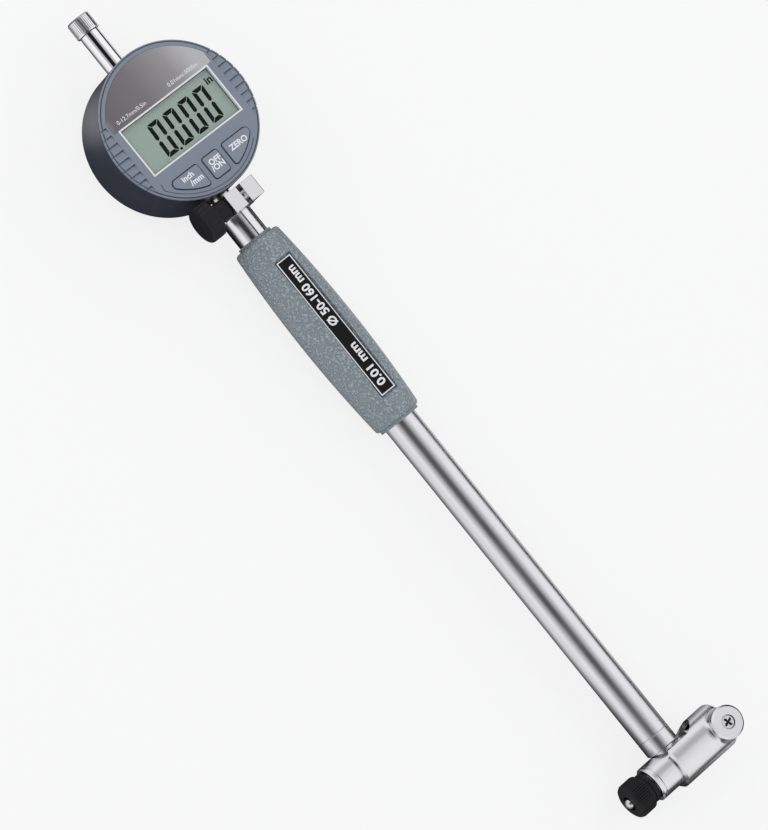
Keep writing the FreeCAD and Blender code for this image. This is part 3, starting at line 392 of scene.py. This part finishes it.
# %% Lines of ground or brushed metal
# The noise is squeezed along one axis of the part, which draws it out into fine lines.
def brushed_group(name, stretch):
    group, start, end = shader_group(name, [("Scale", 1500.0)], ["Lines", "Smear"])
    mapping = add(group, "ShaderNodeMapping")
    mapping.inputs["Scale"].default_value = stretch
    places = object_places(group)
    group.links.new(places, mapping.inputs["Vector"])
    lines = noise(group, mapping.outputs["Vector"], start.outputs["Scale"], detail=4, rough=0.65)
    group.links.new(lines, end.inputs["Lines"])
    group.links.new(noise(group, places, value=45.0, detail=3, rough=0.6), end.inputs["Smear"])
    return group


brushed_round_y = brushed_group("lines_round_y", (0.03, 1.0, 0.03))
brushed_round_x = brushed_group("lines_round_x", (1.0, 0.03, 0.03))

# %% Painted shade in the grooves of a knurl
# What lies deeper than a given radius about the tube's axis is masked, with a soft edge.
groove_shade_along_y, start, end = shader_group(
    "groove_shade_along_y", [("Radius", 0.004), ("Depth", 0.0003)], ["Grooves"])
links = groove_shade_along_y.links
places = object_places(groove_shade_along_y)
to_axis = distance_to(groove_shade_along_y, places, (0, 0, AXIS_HEIGHT), (1, 0, 1))
depth = add(groove_shade_along_y, "ShaderNodeMath", operation="SUBTRACT")
links.new(start.outputs["Radius"], depth.inputs[0])
links.new(to_axis, depth.inputs[1])
share = add(groove_shade_along_y, "ShaderNodeMath", operation="DIVIDE", use_clamp=True)
links.new(depth.outputs[0], share.inputs[0])
links.new(start.outputs["Depth"], share.inputs[1])
links.new(share.outputs[0], end.inputs["Grooves"])

# %% Crinkled paint
# Two sizes of cell noise give small soft pebbles and a mask of their tops for a painted highlight.
crinkle, entry, leave = shader_group("crinkle", [("Pebbles", 1000.0)], ["Height", "Painted highlight"])
spots = object_places(crinkle)
warp = add(crinkle, "ShaderNodeTexNoise", Scale=700.0, Detail=2.0)
crinkle.links.new(spots, warp.inputs["Vector"])
shift = add(crinkle, "ShaderNodeVectorMath", operation="MULTIPLY_ADD")
crinkle.links.new(warp.outputs["Color"], shift.inputs[0])
shift.inputs[1].default_value = (0.0012, 0.0012, 0.0012)
crinkle.links.new(spots, shift.inputs[2])
cells = add(crinkle, "ShaderNodeTexVoronoi", feature="SMOOTH_F1", Smoothness=0.6)
crinkle.links.new(shift.outputs["Vector"], cells.inputs["Vector"])
crinkle.links.new(entry.outputs["Pebbles"], cells.inputs["Scale"])
pebble = add(crinkle, "ShaderNodeMapRange")
crinkle.links.new(cells.outputs["Distance"], pebble.inputs["Value"])
pebble.inputs["From Min"].default_value = 0.62
pebble.inputs["From Max"].default_value = 0.05
crinkle.links.new(pebble.outputs["Result"], leave.inputs["Height"])
tops = add(crinkle, "ShaderNodeMapRange")
crinkle.links.new(pebble.outputs["Result"], tops.inputs["Value"])
tops.inputs["From Min"].default_value = 0.15
tops.inputs["From Max"].default_value = 0.80
crinkle.links.new(tops.outputs["Result"], leave.inputs["Painted highlight"])
print("shader groups:", [group.name for group in bpy.data.node_groups])

# %% [markdown]
# ## Finishes
# One function starts a material, and small functions lay the effects on it: a mix between two
# colours by a mask, a roughness that wanders between two levels, and a bump from a height.

# %% Material helpers
def start_material(name, **settings):
    """A material with a Principled shader whose plain inputs are set by name."""
    material = bpy.data.materials.new(name)
    material.use_nodes = True
    shader = material.node_tree.nodes["Principled BSDF"]
    for title, value in settings.items():
        shader.inputs[title.replace("_", " ")].default_value = value
    return material, material.node_tree, shader


def place_group(tree, group, **values):
    """An effect placed in a material with its own values."""
    node = tree.nodes.new("ShaderNodeGroup")
    node.node_tree = group
    for title, value in values.items():
        node.inputs[title].default_value = value
    return node


def mix_colours(tree, mask, first, second, target):
    """A colour between two, by a mask. The colour sockets of Mix share their names, so they are
    taken by number."""
    node = add(tree, "ShaderNodeMix", data_type="RGBA")
    node.inputs[6].default_value = (*first, 1)
    node.inputs[7].default_value = (*second, 1)
    tree.links.new(mask, node.inputs[0])
    tree.links.new(node.outputs[2], target)


def wander(tree, mask, low, high, target):
    """A value that wanders between two levels as the mask goes through its middle range."""
    node = add(tree, "ShaderNodeMapRange")
    tree.links.new(mask, node.inputs["Value"])
    node.inputs["From Min"].default_value = 0.3
    node.inputs["From Max"].default_value = 0.7
    node.inputs["To Min"].default_value = low
    node.inputs["To Max"].default_value = high
    tree.links.new(node.outputs["Result"], target)


def bump(tree, height, strength, distance, shader):
    """Bends the shading by a height, in metres at full strength."""
    node = add(tree, "ShaderNodeBump", Strength=strength, Distance=distance)
    tree.links.new(height, node.inputs["Height"])
    tree.links.new(node.outputs["Normal"], shader.inputs["Normal"])


# %% [markdown]
# The case, the buttons and the knobs are moulded plastic. Their colours differ but their skin is
# the same, so one function makes them all. The blacks shine less than the slate parts.

# %% Moulded plastics
def moulded(name, dark, light, roughness, depth=0.00003, scale=2600.0, shine=0.5):
    """Moulded plastic: fine grain, faint smears and a colour that wanders a little."""
    material, tree, shader = start_material(name, Specular_IOR_Level=shine)
    effect = place_group(tree, grain, Scale=scale)
    mix_colours(tree, effect.outputs["Smear"], dark, light, shader.inputs["Base Color"])
    wander(tree, effect.outputs["Smear"], roughness - 0.05, roughness + 0.06,
           shader.inputs["Roughness"])
    bump(tree, effect.outputs["Height"], 0.35, depth, shader)
    return material


finishes = {
    "bezel_slate": moulded("bezel_slate", (0.206, 0.238, 0.298), (0.232, 0.266, 0.330), 0.40),
    "case_slate": moulded("case_slate", (0.032, 0.038, 0.056), (0.044, 0.052, 0.076), 0.34,
                          shine=0.7),
    "cover_slate": moulded("cover_slate", (0.050, 0.058, 0.075), (0.062, 0.072, 0.092), 0.45),
    "button_slate": moulded("button_slate", (0.222, 0.252, 0.314), (0.248, 0.280, 0.345), 0.48),
    "nut_black": moulded("nut_black", (0.010, 0.010, 0.011), (0.016, 0.016, 0.018), 0.45,
                         scale=1800.0, shine=0.18),
    "knob_black": moulded("knob_black", (0.012, 0.011, 0.013), (0.018, 0.016, 0.019), 0.45,
                          scale=1800.0, shine=0.18),
    "label_black": moulded("label_black", (0.006, 0.006, 0.007), (0.009, 0.009, 0.010), 0.38,
                           shine=0.12),
    "rubber_dark": moulded("rubber_dark", (0.020, 0.020, 0.021), (0.030, 0.030, 0.032), 0.75),
    "board_green": moulded("board_green", (0.010, 0.060, 0.020), (0.016, 0.085, 0.030), 0.35),
    "scale_strip": moulded("scale_strip", (0.30, 0.16, 0.04), (0.36, 0.20, 0.05), 0.4),
    "frame_white": moulded("frame_white", (0.80, 0.81, 0.82), (0.86, 0.87, 0.88), 0.35),
}
print("plastics:", len(finishes))

# %% [markdown]
# The steel parts are turned, ground or plated. What sets them apart is how rough they are and
# which way their lines run: round the tube's axis, or round the head's.

# %% Metals
def metal(name, colour, smear_colour, roughness, spread, group, scale=1500.0, lines=0.10):
    """Turned, ground or brushed metal: lines that bend the shine and smears that dull it."""
    material, tree, shader = start_material(name, Metallic=1.0)
    effect = place_group(tree, group, Scale=scale)
    mix_colours(tree, effect.outputs["Smear"], colour, smear_colour, shader.inputs["Base Color"])
    wander(tree, effect.outputs["Smear"], roughness, roughness + spread, shader.inputs["Roughness"])
    bump(tree, effect.outputs["Lines"], lines, 0.00002, shader)
    return material


finishes["satin_tube"] = metal("satin_tube", (0.82, 0.81, 0.84), (0.76, 0.75, 0.78), 0.27, 0.05,
                               brushed_round_y, lines=0.06)
finishes["satin_chrome"] = metal("satin_chrome", (0.80, 0.79, 0.81), (0.73, 0.72, 0.74), 0.24, 0.07,
                                 brushed_round_x)
finishes["bright_chrome"] = metal("bright_chrome", (0.93, 0.92, 0.94), (0.89, 0.88, 0.90), 0.07,
                                  0.04, brushed_round_y, lines=0.03)
finishes["collar_chrome"] = metal("collar_chrome", (0.84, 0.83, 0.85), (0.78, 0.77, 0.79), 0.19,
                                  0.05, brushed_round_y, lines=0.008)
finishes["ground_steel"] = metal("ground_steel", (0.70, 0.69, 0.70), (0.62, 0.61, 0.62), 0.20, 0.08,
                                 brushed_round_x)
finishes["spring_steel"] = metal("spring_steel", (0.42, 0.42, 0.43), (0.36, 0.36, 0.37), 0.25, 0.10,
                                 brushed_round_x)
finishes["brass"] = metal("brass", (0.72, 0.50, 0.20), (0.62, 0.42, 0.16), 0.22, 0.10,
                          brushed_round_x)

print("metals and plastics:", len(finishes))

# %% [markdown]
# The cap's grooves are cut in the solid. The finish darkens what lies deeper than the cap's
# outside, a painted shade in the grooves which makes the knurl read even from a distance.

# %% Knurled cap
material, tree, shader = start_material("knurled_chrome", Metallic=1.0)
effect = place_group(tree, brushed_round_y)
cap_low, cap_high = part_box("upper_cap")
# Painted shade: the cap's colour turns dark where the surface lies deeper than its outside.
painted_groove_shade = place_group(tree, groove_shade_along_y, Radius=(cap_high.x - cap_low.x) / 2, Depth=0.22 * MM)
mix_colours(tree, painted_groove_shade.outputs["Grooves"], (0.95, 0.94, 0.96), (0.42, 0.42, 0.43),
            shader.inputs["Base Color"])
wander(tree, effect.outputs["Smear"], 0.20, 0.28, shader.inputs["Roughness"])
finishes["knurled_chrome"] = material

# %% [markdown]
# The grip is sprayed with a paint that crinkles as it dries. A displaced mesh would need millions
# of faces for that, so the pebbles are a bump, and their tops are painted paler: a painted
# highlight for the light they catch from all sides.

# %% Crinkled paint on the grip
material, tree, shader = start_material("grip_paint")
effect = place_group(tree, crinkle)
# Painted highlight: the pebbles' tops are painted paler than the paint between them.
mix_colours(tree, effect.outputs["Painted highlight"], (0.230, 0.276, 0.306), (0.46, 0.52, 0.55),
            shader.inputs["Base Color"])
shader.inputs["Roughness"].default_value = 0.28
bump(tree, effect.outputs["Height"], 1.0, 0.0005, shader)
finishes["grip_paint"] = material

# %% [markdown]
# The face plate's colour carries a painted sheen: darker on the left and paler to the right,
# with a pale strip at the left edge. The display is a grey-green glass with a faint tint that
# wanders, under a clear window. The window is thin and flat, so a low alpha shows what lies
# under it with less noise than real glass would.

# %% Face plate
material, tree, shader = start_material("face_grey", Metallic=0.4)
effect = place_group(tree, grain, Scale=5200.0, Smears=30.0)
across = add(tree, "ShaderNodeSeparateXYZ")
tree.links.new(object_places(tree), across.inputs[0])
plate_low, plate_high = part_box("face_plate")
# Painted sheen: the plate's colour runs from dark on the left to pale on the right, with a pale
# strip at the left edge.
sheen = step_range(tree, across.outputs["X"], low=plate_low.x, high=plate_high.x,
                   start=0.0, end=1.0)
sheen.node.interpolation_type = "LINEAR"
tone = add(tree, "ShaderNodeMath", operation="MULTIPLY_ADD")
tree.links.new(effect.outputs["Smear"], tone.inputs[0])
tone.inputs[1].default_value = 0.16
tree.links.new(sheen, tone.inputs[2])
painted_sheen_colours = ramp(tree, tone.outputs[0], [
    (0.02, (0.36, 0.37, 0.40, 1)), (0.14, (0.165, 0.150, 0.158, 1)),
    (0.46, (0.205, 0.185, 0.195, 1)), (0.78, (0.33, 0.315, 0.325, 1)),
    (0.98, (0.52, 0.51, 0.52, 1))])
tree.links.new(painted_sheen_colours, shader.inputs["Base Color"])
wander(tree, effect.outputs["Smear"], 0.26, 0.36, shader.inputs["Roughness"])
bump(tree, effect.outputs["Height"], 0.1, 0.00001, shader)
finishes["face_grey"] = material

# %% Display and window
material, tree, shader = start_material("lcd_grey")
effect = place_group(tree, grain, Scale=900.0, Smears=40.0)
mix_colours(tree, effect.outputs["Smear"], (0.375, 0.465, 0.415), (0.405, 0.495, 0.445),
            shader.inputs["Base Color"])
wander(tree, effect.outputs["Smear"], 0.40, 0.50, shader.inputs["Roughness"])
finishes["lcd_grey"] = material

material, tree, shader = start_material("window_clear", Alpha=0.06, IOR=1.49)
effect = place_group(tree, grain, Scale=400.0, Smears=50.0)
mix_colours(tree, effect.outputs["Smear"], (0.10, 0.12, 0.11), (0.14, 0.16, 0.15),
            shader.inputs["Base Color"])
wander(tree, effect.outputs["Smear"], 0.04, 0.09, shader.inputs["Roughness"])
finishes["window_clear"] = material

# %% Give each solid its finish
# A few solids have a finish of their own within their kind: the collar and the stem holder are
# polished round the tube, and the cap is knurled.
OWN_FINISH = {
    "stem_holder": "collar_chrome",
    "clamp_collar": "collar_chrome",
    "upper_cap": "knurled_chrome",
}
for entry in frame["record"]["subparts"]:
    solid = nodes[entry["node"]]
    solid.data.materials.clear()
    solid.data.materials.append(finishes[OWN_FINISH.get(entry["node"], entry["material_slot"])])

# %% [markdown]
# ## Printing
# Words are made with Blender's own font, turned into a thin mesh and laid on the surface that
# carries them. Only plain words that a control needs, and plain numbers, are printed.

# %% White print
print_white, tree, shader = start_material("print_white", Roughness=0.5)
effect = place_group(tree, grain, Scale=3000.0)
mix_colours(tree, effect.outputs["Smear"], (0.84, 0.85, 0.87), (0.92, 0.93, 0.95),
            shader.inputs["Base Color"])

PRINT_DEPTH = 0.03 * MM


# %% Printing helpers
def finished(name, mesh, material, body):
    """Wrap a mesh that is already in place as a piece that rides on a body."""
    mesh.materials.clear()
    mesh.materials.append(material)
    piece = bpy.data.objects.new(name, mesh)
    bpy.context.scene.collection.objects.link(piece)
    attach(piece, body)
    return piece


def words_mesh(words, size, stretch=1.0, weight=0.0):
    """Words as a thin flat mesh, centred on its baseline's middle, facing +Z."""
    curve = bpy.data.curves.new("words", "FONT")
    curve.body = words
    curve.size = size
    curve.align_x = "CENTER"
    curve.align_y = "TOP_BASELINE"
    curve.offset = weight
    curve.extrude = PRINT_DEPTH / 2
    curve.resolution_u = 4
    holder = bpy.data.objects.new("words", curve)
    bpy.context.scene.collection.objects.link(holder)
    evaluated = holder.evaluated_get(bpy.context.evaluated_depsgraph_get())
    mesh = bpy.data.meshes.new_from_object(evaluated)
    bpy.data.objects.remove(holder)
    bpy.data.curves.remove(curve)
    mesh.transform(Matrix.Diagonal((stretch, 1, 1, 1)))
    return mesh


def join(meshes):
    """One mesh from several, each with its own place."""
    joined = bmesh.new()
    for mesh, place in meshes:
        mesh.transform(place)
        joined.from_mesh(mesh)
        bpy.data.meshes.remove(mesh)
    result = bpy.data.meshes.new("joined")
    joined.to_mesh(result)
    joined.free()
    return result


def at(x, y, z, turn=0.0):
    """A place in the frame with a turn about +Z, in degrees."""
    return Matrix.Translation((x, y, z)) @ Matrix.Rotation(math.radians(turn), 4, "Z")


# %% Words on the buttons
# Each word has its middle and its baseline, in millimetres from the indicator's centre.
BUTTON_SIZE = 3.1 * MM
BUTTON_WEIGHT = 0.09 * MM
WORDS = {
    "button_unit": [("inch", -11.9, -19.0), ("/mm", -9.7, -21.8)],
    "button_power": [("OFF", 0.5, -20.1), ("/ON", 0.3, -22.5)],
    "button_zero": [("ZERO", 11.9, -20.4)],
}
for button, words in WORDS.items():
    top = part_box(button)[1].z + PRINT_DEPTH / 2
    stack = [(words_mesh(word, BUTTON_SIZE, weight=BUTTON_WEIGHT),
              at(x * MM, INDICATOR.y + y * MM, top)) for word, x, y in words]
    finished(button + "_words", join(stack), print_white, button)
print("buttons printed")

# %% Figures on the face plate
FIGURE_SIZE = 2.2 * MM
FIGURE_LINE = INDICATOR.y + 11.5 * MM
plate_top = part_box("face_plate")[1].z
figures = [
    (words_mesh("0-12.7mm/0.5in", FIGURE_SIZE), at(-13.2 * MM, FIGURE_LINE, plate_top)),
    (words_mesh("0.01mm/.0005in", FIGURE_SIZE), at(11.6 * MM, FIGURE_LINE, plate_top)),
]
finished("face_plate_figures", join(figures), print_white, "indicator")
print("face plate printed")

# %% [markdown]
# ## Display digits
# A display like this draws each digit with seven bars whose ends are mitred. A nought lights six
# of them. Two outlines are enough, one for the end bars and one for the side bars, because the
# others are their mirror images. A font would give the same letters but not the thin gaps.

# %% Display black
lcd_black, tree, shader = start_material("lcd_black", Roughness=0.6, Specular_IOR_Level=0.04)
effect = place_group(tree, grain, Scale=3000.0)
mix_colours(tree, effect.outputs["Smear"], (0.001, 0.002, 0.002), (0.003, 0.004, 0.004),
            shader.inputs["Base Color"])


# %% Bars of a nought
DIGIT_HEIGHT = 12.5 * MM
DIGIT_WIDTH = 3.75 * MM
BAR = 1.55 * MM
BAR_GAP = 0.16 * MM
CORNER = 0.5 * MM
SLANT = 0.05


def nought_bars():
    """Outlines of the six bars of a nought whose lower left centre lines meet at the origin."""
    half = BAR / 2
    near = BAR_GAP - half
    middle_y = DIGIT_HEIGHT / 2
    end_bar = [(near + CORNER, -half), (DIGIT_WIDTH - near - CORNER, -half),
               (DIGIT_WIDTH - near - CORNER / 2, CORNER / 2 - half),
               (DIGIT_WIDTH - half - BAR_GAP, half),
               (half + BAR_GAP, half), (near + CORNER / 2, CORNER / 2 - half)]
    side_bar = [(-half, near + CORNER), (CORNER / 2 - half, near + CORNER / 2),
                (half, half + BAR_GAP), (half, middle_y - half),
                (0, middle_y - BAR_GAP), (-half, middle_y - half)]
    bars = [end_bar, [(x, DIGIT_HEIGHT - y) for x, y in end_bar]]
    for left in (True, False):
        for low in (True, False):
            bars.append([(x if left else DIGIT_WIDTH - x, y if low else DIGIT_HEIGHT - y)
                         for x, y in side_bar])
    return [[(x + SLANT * y, y) for x, y in bar] for bar in bars]


# %% Plates from outlines
def flat_plates(outlines, depth):
    """Thin plates from flat outlines, facing +Z."""
    work = bmesh.new()
    for outline in outlines:
        area = sum(a[0] * b[1] - b[0] * a[1] for a, b in zip(outline, outline[1:] + outline[:1]))
        loop = outline if area > 0 else outline[::-1]
        face = work.faces.new([work.verts.new((x, y, 0)) for x, y in loop])
        raised = bmesh.ops.extrude_face_region(work, geom=[face])
        tops = [item for item in raised["geom"] if isinstance(item, bmesh.types.BMVert)]
        bmesh.ops.translate(work, verts=tops, vec=(0, 0, depth))
    bmesh.ops.recalc_face_normals(work, faces=work.faces)
    mesh = bpy.data.meshes.new("plates")
    work.to_mesh(mesh)
    work.free()
    return mesh


# %% [markdown]
# The four digits of the display are one nought, copied. They could be four pieces or a loop, but
# a Geometry Nodes tree says it more plainly: it sets copies of the mesh that it is given along X,
# and its inputs hold how many there are and how far apart they stand.

# %% A row of copies, in Geometry Nodes
def row_tree():
    """A tree that sets a count of copies a pitch apart."""
    tree = bpy.data.node_groups.new("row_of_copies", "GeometryNodeTree")
    for title, kind in (("Geometry", "NodeSocketGeometry"), ("Count", "NodeSocketInt"),
                        ("Pitch", "NodeSocketFloat"), ("Material", "NodeSocketMaterial")):
        tree.interface.new_socket(title, in_out="INPUT", socket_type=kind)
    tree.interface.new_socket("Geometry", in_out="OUTPUT", socket_type="NodeSocketGeometry")
    start = tree.nodes.new("NodeGroupInput")
    line = add(tree, "GeometryNodeMeshLine")
    step = add(tree, "ShaderNodeCombineXYZ")
    copies = add(tree, "GeometryNodeInstanceOnPoints")
    real = add(tree, "GeometryNodeRealizeInstances")
    coat = add(tree, "GeometryNodeSetMaterial")
    tree.links.new(start.outputs["Count"], line.inputs["Count"])
    tree.links.new(start.outputs["Pitch"], step.inputs["X"])
    tree.links.new(step.outputs[0], line.inputs["Offset"])
    tree.links.new(line.outputs["Mesh"], copies.inputs["Points"])
    tree.links.new(start.outputs["Geometry"], copies.inputs["Instance"])
    tree.links.new(copies.outputs["Instances"], real.inputs["Geometry"])
    tree.links.new(real.outputs["Geometry"], coat.inputs["Geometry"])
    tree.links.new(start.outputs["Material"], coat.inputs["Material"])
    tree.links.new(coat.outputs["Geometry"], tree.nodes.new("NodeGroupOutput").inputs[0])
    return tree


# %% Bake a tree
def grown(mesh, tree, **values):
    """The plain mesh that a Geometry Nodes tree makes from a mesh and its named inputs."""
    holder = bpy.data.objects.new("holder", mesh)
    bpy.context.scene.collection.objects.link(holder)
    modifier = holder.modifiers.new("nodes", "NODES")
    modifier.node_group = tree
    for socket in tree.interface.items_tree:
        if socket.in_out == "INPUT" and socket.name in values:
            modifier[socket.identifier] = values[socket.name]
    evaluated = holder.evaluated_get(bpy.context.evaluated_depsgraph_get())
    result = bpy.data.meshes.new_from_object(evaluated)
    bpy.data.objects.remove(holder)
    return result


# %% The display
panel_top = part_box("lcd_panel")[1].z
DIGIT_PITCH = 7.3 * MM
FIRST_DIGIT = -11.1 * MM
BASELINE = -7.85 * MM
POINT_HALF = 0.45 * MM
POINT_LEAN = 0.1 * MM
nought = flat_plates(nought_bars(), PRINT_DEPTH)
noughts = grown(nought, row_tree(), Count=4, Pitch=DIGIT_PITCH, Material=lcd_black)
dot = [(-POINT_HALF - POINT_LEAN, -POINT_HALF), (POINT_HALF, -POINT_HALF),
       (POINT_HALF + POINT_LEAN, POINT_HALF), (-POINT_HALF, POINT_HALF)]
point = flat_plates([dot], PRINT_DEPTH)
unit = words_mesh("in", 4.2 * MM, weight=0.12 * MM)
display = join([
    (noughts, at(FIRST_DIGIT, INDICATOR.y + BASELINE, panel_top)),
    (point, at(-5.8 * MM, INDICATOR.y - 8.5 * MM, panel_top)),
    (unit, at(19.0 * MM, INDICATOR.y + 3.9 * MM, panel_top + PRINT_DEPTH / 2))])
finished("display_digits", display, lcd_black, "indicator")
print("display drawn")

# %% [markdown]
# ## Label on the grip
# The label is a black plate with a white line round it and the gauge's resolution and range. The
# line is four thin plates, so that it keeps the same width all round. The words run along the
# grip and read from the head's end.

# %% White line of the label
label_low, label_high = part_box("label_plate")
label_mid = (label_low + label_high) / 2
LINE = 0.42 * MM
MARGIN = 0.15 * MM
half_x = (label_high.x - label_low.x) / 2 - MARGIN
half_y = (label_high.y - label_low.y) / 2 - MARGIN


def rectangle(left, right, low, high):
    """The outline of a rectangle."""
    return [(left, low), (right, low), (right, high), (left, high)]


border = flat_plates([
    rectangle(-half_x, half_x, half_y - LINE, half_y),
    rectangle(-half_x, half_x, -half_y, LINE - half_y),
    rectangle(-half_x, LINE - half_x, LINE - half_y, half_y - LINE),
    rectangle(half_x - LINE, half_x, LINE - half_y, half_y - LINE)], PRINT_DEPTH)

# %% Words of the label
LABEL_SIZE = 4.7 * MM
LABEL_WEIGHT = 0.13 * MM
top = label_high.z
baseline = label_mid.x + 1.65 * MM
resolution = words_mesh("0.01 mm", LABEL_SIZE, stretch=1.12, weight=LABEL_WEIGHT)
bore_range = words_mesh("\u00d8 50-160 mm", LABEL_SIZE, weight=LABEL_WEIGHT)
label = join([
    (border, at(label_mid.x, label_mid.y, top)),
    (resolution, at(baseline, label_mid.y - 18.0 * MM, top + PRINT_DEPTH / 2, 90)),
    (bore_range, at(baseline, label_mid.y + 13.5 * MM, top + PRINT_DEPTH / 2, 90))])
finished("label_print", label, print_white, "gauge")
print("label printed")

# %% [markdown]
# ## Cross recesses
# The heads of the two roller screws have a cross recess. From a step away it reads as a dark
# cross, because no light reaches its floor. A thin dark cross on each head gives that look without
# cutting the solids.

# %% Crosses on the roller screws
# Painted shade: a dark cross stands where the screw's recess would lie in shadow.
recess_painted_shade, tree, shader = start_material("recess_painted_shade", Roughness=0.7, Specular_IOR_Level=0.1)
effect = place_group(tree, grain, Scale=3000.0)
mix_colours(tree, effect.outputs["Smear"], (0.012, 0.012, 0.013), (0.030, 0.030, 0.032),
            shader.inputs["Base Color"])
ARM = 1.85 * MM
ARM_HALF = 0.40 * MM
CROSS_TURN = 20.0


def cross_outline():
    """A cross with four equal arms, as one closed outline."""
    quarter = [(ARM, -ARM_HALF), (ARM, ARM_HALF), (ARM_HALF, ARM_HALF)]
    outline = []
    for turn in range(4):
        across = round(math.cos(math.pi / 2 * turn))
        along = round(math.sin(math.pi / 2 * turn))
        outline += [(across * x - along * y, along * x + across * y) for x, y in quarter]
    return outline


for side in ("near", "far"):
    low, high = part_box("roller_screw_" + side)
    top = high.z if side == "near" else low.z - PRINT_DEPTH
    place = at((low.x + high.x) / 2, (low.y + high.y) / 2, top, CROSS_TURN)
    cross = join([(flat_plates([cross_outline()], PRINT_DEPTH), place)])
    finished("roller_cross_" + side, cross, recess_painted_shade, "bridge")
print("crosses on both roller screws")

# %% [markdown]
# ## Closing
# The bounds of everything that renders, apart from the stage, are measured at the end.

# %% Close
low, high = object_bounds()
